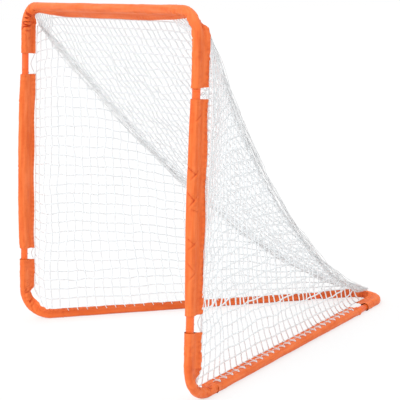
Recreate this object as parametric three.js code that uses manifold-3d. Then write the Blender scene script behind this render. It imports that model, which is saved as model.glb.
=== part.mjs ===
// A backyard lacrosse goal: a knock-down frame of round steel tube, dressed in coated cloth sleeves
// that hold the edge of a square-mesh net. The mouth stands over the goal line, the two ground bars
// run back from its feet to a rounded apex, and two gathered seams hang from the top corners to it.
// Millimetres, +Z up, +X from the left post to the right one, +Y from the mouth to the apex.
import * as THREE from "three";
import { mergeVertices } from "three/addons/utils/BufferGeometryUtils.js";
import Module from "manifold-3d";

const wasm = await Module();
wasm.setup();

// The goal as a whole
const mouthWidth = 1219.2; // over the outsides of the posts
const postLength = 1193.8; // from the ground bars' axis to the crossbar's axis
const goalDepth = 1394; // from the line of the posts to where the ground bars' axes would meet
const postLeanShare = 0.0608; // how far the posts lean back, for each unit of their height

// Tube and its bends
const tubeRadius = 12.7;
const tubeWall = 1.2;
const topBendRadius = 84;
const footBendRadius = 105;
const apexBendRadius = 88;
const tubeSides = 12;
const bendSteps = 6;
const apexBendSteps = 7;

// Plug-in joints: the bent tubes end in a swaged spigot, the posts and the side tubes in a plain mouth
const fitClearance = 0.3;
const legLength = 236; // from a corner's axis to the joint in the post
const apexLegLength = 338; // from where the ground bars' axes would meet to the joint before it
const spigotLength = 45;
const spigotRadius = tubeRadius - tubeWall - fitClearance;
const beadHeight = 0.5; // the rolled ring that stops the spigot
const beadOffset = 3;
const beadWidth = 3;
const throatLength = 3; // where the bore narrows into the spigot

// Snap buttons and the spring clips behind them
const buttonRadius = 3.6;
const buttonOffset = 11; // from the mouth of the joint
const buttonProud = 3.5;
const buttonDomeShare = 0.45;
const clipWidth = 9;
const clipThickness = 0.7;
const clipLength = 36;
const clipFlat = 12;
const clipBendHalf = 2.2;
const boreFlat = (spigotRadius - tubeWall) * Math.cos(Math.PI / tubeSides);
const clipRadial = Math.sqrt((boreFlat - fitClearance) ** 2 - (clipWidth / 2) ** 2); // it fills the bore

// Cloth sleeves
const clothThickness = 0.9;
const sleeveEase = 0.95; // the room between tube and cloth
const sleeveRadius = tubeRadius + sleeveEase + clothThickness;
const neckWidth = 5.4; // from the round part to where the two layers are sewn together
const flapWidth = 23.6; // from there to the free edge, which holds the net
const neckReach = sleeveRadius + neckWidth;
const flapReach = neckReach + flapWidth;
const flapHalf = clothThickness;
const foldDepth = 3.2; // the flap's soft waves along a post
const postFoldCount = 3;
const foldSteps = 8;
const crossbarFoldCount = 4;
const crossbarFoldSteps = 10;
const footSleeveRun = 150; // how far the foot sleeve goes along the ground bar
const groundFlapRise = THREE.MathUtils.degToRad(30);
const crossbarFlapDrop = THREE.MathUtils.degToRad(55);
const flapTurns = {
  left: { front: THREE.MathUtils.degToRad(27), rear: THREE.MathUtils.degToRad(8) },
  right: { front: THREE.MathUtils.degToRad(-33), rear: THREE.MathUtils.degToRad(-37) },
}; // the left bar's flap stands up, the right bar's lies over
const apexFlapTurns = {
  left: THREE.MathUtils.degToRad(18),
  right: THREE.MathUtils.degToRad(-26),
};

// Where the sleeves stop short of each joint, so that its button can be reached. The sleeves slide on
// the tube, so the two sides differ, as on a goal in use.
const windows = {
  left: { upperAbove: 62, upperBelow: 18, lowerAbove: 34, lowerBelow: 9, rearBefore: 28, rearAfter: 16 },
  right: { upperAbove: 9, upperBelow: 23, lowerAbove: 40, lowerBelow: 13, rearBefore: 18, rearAfter: 47 },
};

// Net, seams and cords
const netThickness = 3;
const strandHalf = 2.2;
const borderWidth = 4.4;
const netGap = 0.9; // between the net's border and the flap's edge
const netClearance = netThickness / 2 + netGap;
const knotReach = 0.3; // cells' points nearer than this are one knot
const leastCorner = THREE.MathUtils.degToRad(10); // a cell's corner that turns less lies on a straight edge
const sideColumns = 13;
const topColumns = 5;
const rowsPerTopColumn = 3;
const seamEdgeSteps = 3;
const sideNetInset = 11; // from its rear end to the apex tube's bend
const sideStrandPower = 1.45; // how the side net's strands lean towards the post
const sideNetSeamShare = 0.92;
const topNetSeamShare = 0.93;
const topNetSag = 22;
const topNetEdgePower = 8;
const seamRadius = 9;
const seamSides = 8;
const seamSteps = 28;
const seamClearance = 0.8;
const seamTopRise = 18; // above the lower end of the top bend
const seamTopDrop = topBendRadius - seamTopRise; // below the crossbar's axis, along the post
const seamTopReach = flapReach + seamRadius + seamClearance; // behind the post's axis, along the ground bar
const seamEndSpread = 14; // from the middle to each seam's end
const seamEndReach = -8; // in front of the apex flap's edge, so the seam ends a little behind it
const seamSagPower = 1.54;
const seamBulge = 35; // how far the seam is drawn in at a third of its run
const cordRadius = 1.75;
const cordSides = 8;
const cordSteps = 8;
const cordHem = 6; // from the flap's free edge to the cord in its hem
const cordReach = flapReach - cordHem;
const cordBowShare = 0.17;
const lacingReach = neckReach + fitClearance;
const lacingGap = 1.2;
const lacingRise = flapHalf + cordRadius + lacingGap;
const lacingInset = 18; // from each end of the bar sleeve to the lacing's end

// Finishes
const finish = (color, roughness, metalness) =>
  new THREE.MeshStandardMaterial({ color, roughness, metalness });
const paintedSteel = finish(0xf4591c, 0.35, 0.1);
const coatedCloth = finish(0xf07a40, 0.6, 0);
const netTwine = finish(0xe9e9e7, 0.9, 0);
const seamTwine = finish(0xd6d6d3, 0.95, 0);
const platedSteel = finish(0xb9bdc1, 0.3, 0.9);
const springSteel = finish(0x8a8d90, 0.4, 0.8);

const goal = new THREE.Group();
const across = new THREE.Vector3(1, 0, 0);
const back = new THREE.Vector3(0, 1, 0);
const up = new THREE.Vector3(0, 0, 1);

// The axes of the left half of the frame. The right half is its mirror image.
const groundHeight = sleeveRadius * Math.cos(Math.PI / tubeSides);
const foot = new THREE.Vector3(-(mouthWidth / 2 - tubeRadius), 0, groundHeight);
const apex = new THREE.Vector3(0, goalDepth, groundHeight);
const post = new THREE.Vector3(0, postLeanShare, 1).normalize();
const bar = apex.clone().sub(foot).normalize();
const barLength = apex.distanceTo(foot);
const topCorner = foot.clone().addScaledVector(post, postLength);
const inward = new THREE.Vector3(bar.y, -bar.x, 0);
const groundFlap = turned(inward, up, groundFlapRise);
const crossbarFlap = turned(back, up, -crossbarFlapDrop);
const upperJoint = postLength - legLength;
const rearJoint = barLength - apexLegLength;

// A unit vector turned from one direction towards another
function turned(from, towards, angle) {
  return from.clone().multiplyScalar(Math.cos(angle)).addScaledVector(towards, Math.sin(angle));
}

// A place on the frame: its point, the way along the tube and the two ways across it, one to the flap
function station(at, along, flap) {
  const forward = flap.clone().addScaledVector(along, -flap.dot(along)).normalize();
  return { at, along, forward, aside: along.clone().cross(forward) };
}

const ahead = (start, way, distance) => start.clone().addScaledVector(way, distance);
const backwards = bar.clone().negate();
const onBar = (distance) => station(ahead(foot, bar, distance), backwards, groundFlap);
const onPost = (height) => station(ahead(foot, post, height), post, back);
const onCrossbar = (distance) => station(ahead(topCorner, across, distance), across, crossbarFlap);

// The stations round a bend, from one straight run to the next. flapAt gives the way to the flap for a
// share of the bend and the way to the bend's centre.
function bend(corner, into, outOf, radius, flapAt, steps) {
  const turn = Math.acos(into.dot(outOf));
  const normal = outOf.clone().addScaledVector(into, -Math.cos(turn)).normalize();
  const start = corner.clone().addScaledVector(into, -radius * Math.tan(turn / 2));
  const centre = start.clone().addScaledVector(normal, radius);
  return Array.from({ length: steps + 1 }, (_, i) => {
    const share = i / steps;
    const towardsCentre = turned(normal, into, -turn * share);
    const at = centre.clone().addScaledVector(towardsCentre, -radius);
    return { ...station(at, turned(into, normal, turn * share), flapAt(share, towardsCentre)), share };
  });
}

const eased = (share) => THREE.MathUtils.smoothstep(share, 0, 1);
const easedFlap = (before, after) => (share) => before.clone().lerp(after, eased(share));
const raisedFlap = (share, towardsCentre) => turned(towardsCentre, up, groundFlapRise);

const bendRun = (radius, into, outOf) => radius * Math.tan(Math.acos(into.dot(outOf)) / 2);
const mirroredBar = new THREE.Vector3(-bar.x, bar.y, 0);
const footRun = bendRun(footBendRadius, backwards, post);
const topRun = bendRun(topBendRadius, post, across);
const apexRun = bendRun(apexBendRadius, mirroredBar, backwards);
const footBend = bend(foot, backwards, post, footBendRadius, easedFlap(groundFlap, back), bendSteps);
const topBend = bend(topCorner, post, across, topBendRadius, easedFlap(back, crossbarFlap), bendSteps);
const apexBend = bend(apex, mirroredBar, backwards, apexBendRadius, raisedFlap, apexBendSteps);

// A station's mirror image on the right half of the frame
function mirrored(place) {
  const flip = (v) => new THREE.Vector3(-v.x, v.y, v.z);
  const { at, along, forward, aside } = place;
  return { ...place, at: flip(at), along: flip(along), forward: flip(forward), aside: flip(aside) };
}

const sides = [
  { name: "left", place: (s) => s, window: windows.left, turns: flapTurns.left },
  { name: "right", place: mirrored, window: windows.right, turns: flapTurns.right },
];

const pointAt = (place, forward, aside) =>
  place.at.clone().addScaledVector(place.forward, forward).addScaledVector(place.aside, aside);

// A shape stood on a station, with its X axis turned along and its Y axis turned to the flap
function stoodOn(geometry, place, along) {
  const turn = new THREE.Matrix4().makeBasis(along, place.forward, along.clone().cross(place.forward));
  return geometry.applyMatrix4(turn.setPosition(place.at));
}

// A closed body from its points and triangles, with its faces turned outwards
function body(points, triangles) {
  const position = new Float32Array(points.flatMap((p) => [p.x, p.y, p.z]));
  let volume = 0;
  for (const [a, b, c] of triangles) volume += points[a].dot(points[b].clone().cross(points[c]));
  const outward = volume > 0 ? triangles : triangles.map(([a, b, c]) => [a, c, b]);
  const geometry = new THREE.BufferGeometry();
  geometry.setAttribute("position", new THREE.BufferAttribute(position, 3));
  geometry.setIndex(outward.flat());
  geometry.computeVertexNormals();
  return geometry;
}

// The wall between rings that all have as many points. Each facet is split along its shorter diagonal,
// so that two walls one inside the other stay clear of each other where they twist.
function wallBetween(rings, steps) {
  const count = rings[0].length;
  const triangles = [];
  for (let i = 0; i < steps; i += 1) {
    const next = (i + 1) % rings.length;
    for (let j = 0; j < count; j += 1) {
      const k = (j + 1) % count;
      const [a, b, c, d] = [i * count + j, i * count + k, next * count + k, next * count + j];
      const rising = rings[i][j].distanceTo(rings[next][k]);
      const falling = rings[i][k].distanceTo(rings[next][j]);
      if (rising < falling) triangles.push([a, b, c], [a, c, d]);
      else triangles.push([a, b, d], [b, c, d]);
    }
  }
  return triangles;
}

// A hollow body from the rings along its outside and back along its bore
function hollow(rings) {
  return body(rings.flat(), wallBetween(rings, rings.length));
}

function rod(rings) {
  const count = rings[0].length;
  const lastRing = (rings.length - 1) * count;
  const triangles = wallBetween(rings, rings.length - 1);
  for (let j = 1; j < count - 1; j += 1) {
    triangles.push([0, j + 1, j]);
    triangles.push([lastRing, lastRing + j, lastRing + j + 1]);
  }
  return body(rings.flat(), triangles);
}

function circleRing(place, radius, sidesOfRing) {
  return Array.from({ length: sidesOfRing }, (_, i) => {
    const angle = ((i + 1 / 2) * 2 * Math.PI) / sidesOfRing;
    return pointAt(place, radius * Math.cos(angle), radius * Math.sin(angle));
  });
}

const tubeRing = (place, radius) => circleRing(place, radius, tubeSides);

function solidOf(geometry) {
  const bare = new THREE.BufferGeometry();
  bare.setAttribute("position", geometry.getAttribute("position"));
  bare.setIndex(geometry.index);
  const merged = mergeVertices(bare);
  return new wasm.Manifold(
    new wasm.Mesh({
      numProp: 3,
      vertProperties: merged.attributes.position.array,
      triVerts: new Uint32Array(merged.index.array),
    }),
  );
}

function geometryOf(solid) {
  const mesh = solid.getMesh();
  const geometry = new THREE.BufferGeometry();
  geometry.setAttribute("position", new THREE.BufferAttribute(new Float32Array(mesh.vertProperties), 3));
  geometry.setIndex(new THREE.BufferAttribute(new Uint32Array(mesh.triVerts), 1));
  geometry.computeVertexNormals();
  return geometry;
}

function add(name, geometry, material) {
  const mesh = new THREE.Mesh(geometry, material);
  mesh.name = name;
  goal.add(mesh);
  return mesh;
}

// Tubes. Each is a row of rings along the outside and back along the bore.

// A spigot's outer and inner rings, from its tip to its own tube. at gives the station that many
// millimetres from the joint, counted towards that tube.
function spigot(at) {
  const outer = [
    [-spigotLength, spigotRadius],
    [0, spigotRadius],
    [0, tubeRadius],
    [beadOffset, tubeRadius],
    [beadOffset + beadWidth / 4, tubeRadius + beadHeight],
    [beadOffset + (beadWidth * 3) / 4, tubeRadius + beadHeight],
    [beadOffset + beadWidth, tubeRadius],
  ];
  const inner = [
    [-spigotLength, spigotRadius - tubeWall],
    [throatLength / 2, spigotRadius - tubeWall],
    [throatLength + beadOffset, tubeRadius - tubeWall],
  ];
  const ring = ([distance, radius]) => tubeRing(at(distance), radius);
  return { outer: outer.map(ring), inner: inner.map(ring) };
}

// The hole for a snap button through one side of a joint
function holeAt(place) {
  const drill = new THREE.CylinderGeometry(
    buttonRadius + fitClearance,
    buttonRadius + fitClearance,
    tubeRadius * 2,
    tubeSides,
  );
  drill.translate(0, tubeRadius + throatLength, 0);
  return solidOf(stoodOn(drill, place, place.along));
}

function drilled(geometry, holes) {
  return geometryOf(holes.reduce((solid, place) => solid.subtract(holeAt(place)), solidOf(geometry)));
}

const joints = {
  upper: { at: (distance) => onPost(upperJoint + distance), button: onPost(upperJoint - buttonOffset) },
  lower: { at: (distance) => onPost(legLength - distance), button: onPost(legLength + buttonOffset) },
  rear: { at: (distance) => onBar(rearJoint + distance), button: onBar(rearJoint - buttonOffset) },
};

function topBow() {
  const left = spigot(joints.upper.at);
  const right = spigot((distance) => mirrored(joints.upper.at(distance)));
  const bends = [...topBend, ...topBend.map(mirrored).reverse()];
  const geometry = hollow([
    ...left.outer,
    ...bends.map((place) => tubeRing(place, tubeRadius)),
    ...right.outer.reverse(),
    ...right.inner,
    ...bends.map((place) => tubeRing(place, tubeRadius - tubeWall)).reverse(),
    ...left.inner.reverse(),
  ]);
  return drilled(geometry, [joints.upper.button, mirrored(joints.upper.button)]);
}

function postTube(place) {
  const ends = [legLength + fitClearance, upperJoint - fitClearance];
  const rings = [
    ...ends.map((height) => tubeRing(place(onPost(height)), tubeRadius)),
    ...ends.map((height) => tubeRing(place(onPost(height)), tubeRadius - tubeWall)).reverse(),
  ];
  return drilled(hollow(rings), [place(joints.upper.button), place(joints.lower.button)]);
}

function sideTube(place) {
  const plug = spigot((distance) => place(joints.lower.at(distance)));
  const mouth = place(onBar(rearJoint - fitClearance));
  const bends = [...footBend].reverse().map(place);
  const geometry = hollow([
    ...plug.outer,
    ...bends.map((s) => tubeRing(s, tubeRadius)),
    tubeRing(mouth, tubeRadius),
    tubeRing(mouth, tubeRadius - tubeWall),
    ...bends.map((s) => tubeRing(s, tubeRadius - tubeWall)).reverse(),
    ...plug.inner.reverse(),
  ]);
  return drilled(geometry, [place(joints.lower.button), place(joints.rear.button)]);
}

function apexTube() {
  const left = spigot(joints.rear.at);
  const right = spigot((distance) => mirrored(joints.rear.at(distance)));
  const geometry = hollow([
    ...right.outer,
    ...apexBend.map((s) => tubeRing(s, tubeRadius)),
    ...left.outer.reverse(),
    ...left.inner,
    ...apexBend.map((s) => tubeRing(s, tubeRadius - tubeWall)).reverse(),
    ...right.inner.reverse(),
  ]);
  return drilled(geometry, [joints.rear.button, mirrored(joints.rear.button)]);
}

add("top_bow_tube", topBow(), paintedSteel);
for (const side of sides) {
  add(`${side.name}_post_tube`, postTube(side.place), paintedSteel);
  add(`${side.name}_side_tube`, sideTube(side.place), paintedSteel);
}
add("apex_tube", apexTube(), paintedSteel);

// Snap buttons: a domed pin that stands on its clip's leaf and passes through both tubes
function snapButton(place) {
  const base = clipRadial + fitClearance;
  const top = tubeRadius + buttonProud;
  const dome = buttonRadius * buttonDomeShare;
  const profile = [
    new THREE.Vector2(0, base),
    new THREE.Vector2(buttonRadius, base),
    new THREE.Vector2(buttonRadius, top - dome),
    new THREE.Vector2(buttonRadius * Math.cos(Math.PI / 4), top - dome * (1 - Math.sin(Math.PI / 4))),
    new THREE.Vector2(0, top),
  ];
  return stoodOn(new THREE.LatheGeometry(profile, tubeSides), place, place.along);
}

// Spring clips: a strip of spring steel bent to a V inside the spigot. towards is the way to the mouth
// of the joint.
function springClip(place, towards) {
  const open = buttonOffset - beadOffset * 2;
  const shut = open - clipLength;
  const flat = open - clipFlat;
  const leaf = clipRadial - clipThickness;
  const crook = clipBendHalf - clipThickness;
  const outer = [[open, clipRadial], [flat, clipRadial], [shut, clipBendHalf]];
  const inner = [[shut + clipThickness, crook], [flat, leaf], [open, leaf]];
  const below = (points) => points.map(([x, y]) => [x, -y]).reverse();
  const outline = [...outer, ...below(outer), ...below(inner), ...inner];
  const shape = new THREE.Shape(outline.map(([x, y]) => new THREE.Vector2(x, y)));
  const strip = new THREE.ExtrudeGeometry(shape, { depth: clipWidth, bevelEnabled: false });
  strip.translate(0, 0, -clipWidth / 2);
  return stoodOn(strip, place, towards);
}

for (const side of sides) {
  for (const [name, joint] of Object.entries(joints)) {
    const place = side.place(joint.button);
    const towards = side.place(joint.at(0)).at.clone().sub(place.at).normalize();
    add(`${side.name}_${name}_snap_button`, snapButton(place), platedSteel);
    add(`${side.name}_${name}_spring_clip`, springClip(place, towards), springSteel);
  }
}

// Cloth sleeves. A flap is bent at its neck: bent gives the free edge for a turn of its outer part.
const straightTip = { forward: flapReach, aside: 0 };
const bent = (turn) => ({
  forward: neckReach + flapWidth * Math.cos(turn),
  aside: flapWidth * Math.sin(turn),
});
const between = (a, b, share) => ({
  forward: THREE.MathUtils.lerp(a.forward, b.forward, share),
  aside: THREE.MathUtils.lerp(a.aside, b.aside, share),
});
const groundTip = ({ turns }, distance) =>
  between(bent(turns.front), bent(turns.rear), (distance - footRun) / (rearJoint - footRun));
const footTip = ({ turns }, share) => between(bent(turns.front), straightTip, eased(share));
const apexTips = { left: bent(apexFlapTurns.left), right: bent(apexFlapTurns.right) };
const apexTip = (share) => between(apexTips.right, apexTips.left, eased(2 * share)); // up by the middle
const waved = (share, count) => ({
  forward: flapReach,
  aside: foldDepth * Math.sin(share * count * 2 * Math.PI),
});

// The rounded part of a sleeve's section runs from one side of the flap to the other
const roundPart = (place, radius) => tubeRing(place, radius).slice(1, tubeSides - 1);

function outerRing({ place, tip }) {
  const angle = Math.atan2(tip.aside, tip.forward - neckReach);
  const rise = flapHalf * Math.cos(angle);
  const shift = flapHalf * Math.sin(angle);
  const edge = (side) => pointAt(place, tip.forward - side * shift, tip.aside + side * rise);
  return [
    ...roundPart(place, sleeveRadius),
    pointAt(place, neckReach, -flapHalf),
    edge(-1),
    edge(1),
    pointAt(place, neckReach, flapHalf),
  ];
}

function innerRing({ place }) {
  const radius = sleeveRadius - clothThickness;
  const ring = tubeRing(place, radius);
  const flat = radius * Math.cos(Math.PI / tubeSides);
  return [
    ...roundPart(place, radius),
    ring[tubeSides - 1],
    pointAt(place, flat, -flapHalf),
    pointAt(place, flat, flapHalf),
    ring[0],
  ];
}

function sleeve(steps) {
  return hollow([...steps.map(outerRing), ...steps.map(innerRing).reverse()]);
}

const upTo = (steps) => Array.from({ length: steps + 1 }, (_, i) => i / steps);

function topSleeve() {
  const start = onPost(upperJoint + windows.left.upperAbove);
  const end = mirrored(onPost(upperJoint + windows.right.upperAbove));
  const crossbarLength = mouthWidth - 2 * tubeRadius;
  const middle = upTo(crossbarFoldSteps).slice(1, -1).map((share) => ({
    place: onCrossbar(THREE.MathUtils.lerp(topRun, crossbarLength - topRun, share)),
    tip: waved(share, crossbarFoldCount),
  }));
  const plain = (place) => ({ place, tip: straightTip });
  const before = [start, ...topBend].map(plain);
  const after = [end, ...topBend.map(mirrored)].map(plain).reverse();
  return sleeve([...before, ...middle, ...after]);
}

function postSleeve(side) {
  const bottom = legLength + side.window.lowerAbove;
  const top = upperJoint - side.window.upperBelow;
  return sleeve(
    upTo(foldSteps).map((share) => ({
      place: side.place(onPost(THREE.MathUtils.lerp(bottom, top, share))),
      tip: waved(share, postFoldCount),
    })),
  );
}

function footSleeve(side) {
  const round = footBend.map((place) => ({
    place: side.place(place),
    tip: footTip(side, place.share),
  }));
  return sleeve([
    { place: side.place(onBar(footSleeveRun)), tip: groundTip(side, footSleeveRun) },
    ...round,
    { place: side.place(onPost(legLength - side.window.lowerBelow)), tip: straightTip },
  ]);
}

function barSleeve(side) {
  const front = footSleeveRun + fitClearance;
  const rear = rearJoint - side.window.rearBefore;
  return sleeve(
    upTo(foldSteps / 2).map((share) => {
      const distance = THREE.MathUtils.lerp(front, rear, share);
      return { place: side.place(onBar(distance)), tip: groundTip(side, distance) };
    }),
  );
}

function apexSleeve() {
  const start = mirrored(onBar(rearJoint + windows.right.rearAfter));
  const end = onBar(rearJoint + windows.left.rearAfter);
  const round = apexBend.map((place) => ({ place, tip: apexTip(place.share) }));
  return sleeve([{ place: start, tip: apexTips.right }, ...round, { place: end, tip: apexTips.left }]);
}

add("top_sleeve", topSleeve(), coatedCloth);
for (const side of sides) {
  add(`${side.name}_post_sleeve`, postSleeve(side), coatedCloth);
  add(`${side.name}_foot_sleeve`, footSleeve(side), coatedCloth);
  add(`${side.name}_bar_sleeve`, barSleeve(side), coatedCloth);
}
add("apex_sleeve", apexSleeve(), coatedCloth);

// Seams: the gathered edges of the net hang in a steep curve from the top corners to the apex
const seamTop = ahead(ahead(foot, post, postLength - seamTopDrop), bar, seamTopReach);
const apexRear = ahead(apex, back, apexBendRadius - apexBendRadius / bar.x);
const apexMiddle = station(apexRear, across.clone().negate(), raisedFlap(1, back.clone().negate()));
const seamEndRise = flapHalf + seamClearance + seamRadius;
const seamEndFromFlap = new THREE.Vector3(-seamEndSpread, -seamEndReach, seamEndRise);
const seamEnd = pointAt(apexMiddle, apexTips.left.forward, apexTips.left.aside).add(seamEndFromFlap);

function seamPoint(share) {
  const left = 1 - share;
  const point = seamTop.clone().lerp(seamEnd, share);
  point.z = seamEnd.z + (seamTop.z - seamEnd.z) * left ** seamSagPower;
  const bulgeShare = (27 / 4) * share * left * left;
  return point.addScaledVector(inward, seamBulge * bulgeShare);
}

function seamDirection(share) {
  const reach = 1 / (4 * seamSteps);
  const before = seamPoint(Math.max(share - reach, 0));
  return seamPoint(Math.min(share + reach, 1)).sub(before).normalize();
}

function seamBand(side) {
  const rings = upTo(seamSteps).map((share) => {
    const place = side.place(station(seamPoint(share), seamDirection(share), up));
    return circleRing(place, seamRadius, seamSides);
  });
  return rod(rings);
}

// A point beside the seam, on the side that a panel joins it from
function besideSeam(share, towards) {
  const along = seamDirection(share);
  const way = towards.clone().addScaledVector(along, -towards.dot(along)).normalize();
  return seamPoint(share).addScaledVector(way, seamRadius + seamClearance);
}

for (const side of sides) add(`${side.name}_seam`, seamBand(side), seamTwine);

// Net panels. A panel is a set of cells, each a ring of points. Every cell is a gap, with half a strand
// inside each of its edges, or a whole border where no other cell shares the edge.
function netPanel(cells) {
  const keys = new Map();
  const points = [];
  const keyOf = (p) => [p.x, p.y, p.z].map((v) => Math.round(v / knotReach)).join(" ");
  const indexOf = (p) => {
    const key = keyOf(p);
    if (!keys.has(key)) {
      keys.set(key, points.length);
      points.push(p);
    }
    return keys.get(key);
  };
  const rings = cells.map((cell) => cell.map(indexOf));
  const edgeName = (a, b) => `${Math.min(a, b)} ${Math.max(a, b)}`;
  const uses = new Map();
  for (const ring of rings) {
    ring.forEach((a, i) => {
      const name = edgeName(a, ring[(i + 1) % ring.length]);
      uses.set(name, (uses.get(name) ?? 0) + 1);
    });
  }
  const normals = points.map(() => new THREE.Vector3());
  const cellNormals = rings.map((ring) => {
    const normal = new THREE.Vector3();
    ring.forEach((a, i) => normal.add(points[a].clone().cross(points[ring[(i + 1) % ring.length]])));
    normal.normalize();
    ring.forEach((a) => normals[a].add(normal));
    return normal;
  });
  const vertices = [];
  const both = (point, normal) => {
    vertices.push(point.clone().addScaledVector(normal, netThickness / 2));
    vertices.push(point.clone().addScaledVector(normal, -netThickness / 2));
  };
  points.forEach((point, i) => both(point, normals[i].normalize()));
  const triangles = [];
  const quad = (a, b, c, d) => triangles.push([a, b, c], [a, c, d]);
  rings.forEach((ring, r) => {
    const normal = cellNormals[r];
    const count = ring.length;
    const edges = ring.map((a, i) => {
      const b = ring[(i + 1) % count];
      const along = points[b].clone().sub(points[a]).normalize();
      const inset = uses.get(edgeName(a, b)) > 1 ? strandHalf : borderWidth;
      return { a, b, way: normal.clone().cross(along).normalize(), inset };
    });
    const first = vertices.length;
    ring.forEach((a, i) => {
      const before = edges[(i + count - 1) % count];
      const after = edges[i];
      const c = before.way.dot(after.way);
      const point = points[a].clone();
      if (c > Math.cos(leastCorner)) {
        const way = before.way.clone().add(after.way).normalize();
        point.addScaledVector(way, Math.max(before.inset, after.inset));
      } else {
        point.addScaledVector(before.way, (before.inset - c * after.inset) / (1 - c * c));
        point.addScaledVector(after.way, (after.inset - c * before.inset) / (1 - c * c));
      }
      both(point, normal);
    });
    edges.forEach(({ a, b }, i) => {
      const p = first + 2 * i;
      const q = first + 2 * ((i + 1) % count);
      quad(2 * a, 2 * b, q, p);
      quad(2 * b + 1, 2 * a + 1, p + 1, q + 1);
      quad(p, q, q + 1, p + 1);
      if (uses.get(edgeName(a, b)) === 1) quad(2 * b, 2 * a, 2 * a + 1, 2 * b + 1);
    });
  });
  return body(vertices, triangles);
}

// Side nets: columns rise from the ground bar's flap to the seam and lean towards the post on the way
const netBeside = (place, tip) => {
  const beyondEdge = 1 + netClearance / flapWidth;
  return pointAt(place, neckReach + (tip.forward - neckReach) * beyondEdge, tip.aside * beyondEdge);
};

function sideNet(side) {
  const last = sideColumns - 1;
  const middleOfFoot = footBend[Math.round(bendSteps / 2)];
  const corner = netBeside(middleOfFoot, footTip(side, middleOfFoot.share));
  const bottom = (i) => {
    if (i === 0) return corner;
    const distance = ((barLength - apexRun - sideNetInset) * i) / last;
    return netBeside(onBar(distance), distance > rearJoint ? apexTips[side.name] : groundTip(side, distance));
  };
  const seamShare = (i) => sideNetSeamShare * (i / last) ** sideStrandPower;
  const downwards = up.clone().negate();
  const top = (i) => besideSeam(seamShare(i), downwards);
  const lowest = corner.clone().sub(foot).dot(post);
  const highest = top(0).sub(foot).dot(post);
  const at = (i, j) => {
    if (j === sideColumns - i) return top(i);
    if (i === 0 && j > 0) {
      const height = THREE.MathUtils.lerp(lowest, highest, j / sideColumns);
      return netBeside(onPost(height), straightTip);
    }
    return bottom(i).lerp(top(i), j / (sideColumns - i));
  };
  const cells = [];
  for (let i = 0; i < last; i += 1) {
    const rows = sideColumns - i - 1;
    for (let j = 0; j < rows; j += 1) cells.push([at(i, j), at(i + 1, j), at(i + 1, j + 1), at(i, j + 1)]);
    const along = upTo(seamEdgeSteps).slice(1, -1).map((share) =>
      besideSeam(THREE.MathUtils.lerp(seamShare(i + 1), seamShare(i), share), downwards),
    );
    cells.push([at(i, rows), at(i + 1, rows), ...along, at(i, rows + 1)]);
  }
  return cells;
}

// Top net: rows run from seam to seam and columns run back from the crossbar, cut off at the seams.
// These are the cells of its right half.
function topNet() {
  const rows = topColumns * rowsPerTopColumn;
  const crossbarEdge = netBeside(onCrossbar(mouthWidth / 2 - tubeRadius), straightTip);
  const edgeStart = besideSeam(0, across);
  const seamShares = evenShares(rows, topNetSeamShare);
  const shareAt = (row) => {
    const i = Math.min(Math.floor(row), rows - 1);
    return THREE.MathUtils.lerp(seamShares[i], seamShares[i + 1], row - i);
  };
  const at = (column, row) => {
    const share = shareAt(row);
    const width = topColumns * (1 - row / rows);
    const part = width > 0 ? column / width : 0;
    const edge = besideSeam(share, across);
    const hold = (1 - part ** topNetEdgePower) * (1 - share) ** topNetEdgePower;
    edge.y += (crossbarEdge.y - edgeStart.y) * hold;
    edge.z += (crossbarEdge.z - edgeStart.z) * hold;
    edge.z -= topNetSag * (1 - part * part) * Math.sin(Math.PI * share);
    edge.x *= part;
    return edge;
  };
  const cells = [];
  for (let i = 0; i < topColumns; i += 1) {
    const full = (topColumns - 1 - i) * rowsPerTopColumn;
    for (let j = 0; j < full; j += 1) cells.push([at(i, j), at(i + 1, j), at(i + 1, j + 1), at(i, j + 1)]);
    for (let k = 0; k < rowsPerTopColumn; k += 1) {
      const edge = (step) => at(i + 1 - step / rowsPerTopColumn, full + step);
      const along = upTo(seamEdgeSteps).slice(1, -1).map((share) => edge(k + share));
      const corners = [at(i, full + k), edge(k), ...along, edge(k + 1)];
      if (k < rowsPerTopColumn - 1) corners.push(at(i, full + k + 1));
      cells.push(corners);
    }
  }
  return cells;
}

// Shares of the seam that lie equal lengths apart
function evenShares(count, end) {
  const fine = upTo(count * seamSteps).map((share) => share * end);
  const places = fine.map(seamPoint);
  const lengths = [0];
  places.slice(1).forEach((place, i) => lengths.push(lengths[i] + place.distanceTo(places[i])));
  const total = lengths[lengths.length - 1];
  return upTo(count).map((share) => fine[lengths.findIndex((length) => length >= share * total)]);
}

const otherSide = (p) => new THREE.Vector3(-p.x, p.y, p.z);
const otherHalf = (cells) => cells.map((cell) => cell.map(otherSide).reverse());
const [leftCells, rightCells] = sides.map(sideNet);
const topCells = topNet();
add("left_net", netPanel(leftCells), netTwine);
add("right_net", netPanel(otherHalf(rightCells)), netTwine);
add("top_net", netPanel([...topCells, ...otherHalf(topCells)]), netTwine);

// Cords: the net's edge cord shows in the post windows, and a lacing cord ties the net to each bar sleeve
function windowCord(side, low, high) {
  const bow = (high - low) * cordBowShare;
  const ends = [low + fitClearance, high - fitClearance];
  const rings = upTo(cordSteps).map((share) => {
    const height = THREE.MathUtils.lerp(...ends, share);
    const place = side.place(onPost(height));
    const reach = cordReach - (bow * (1 - Math.cos(2 * Math.PI * share))) / 2;
    return circleRing({ ...place, at: pointAt(place, reach, 0) }, cordRadius, cordSides);
  });
  return rod(rings);
}

function lacingCord(side) {
  const front = footSleeveRun + lacingInset;
  const rear = rearJoint - side.window.rearBefore - lacingInset;
  const rings = upTo(cordSteps).map((share) => {
    const place = side.place(onBar(THREE.MathUtils.lerp(front, rear, share)));
    return circleRing({ ...place, at: pointAt(place, lacingReach, lacingRise) }, cordRadius, cordSides);
  });
  return rod(rings);
}

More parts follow.
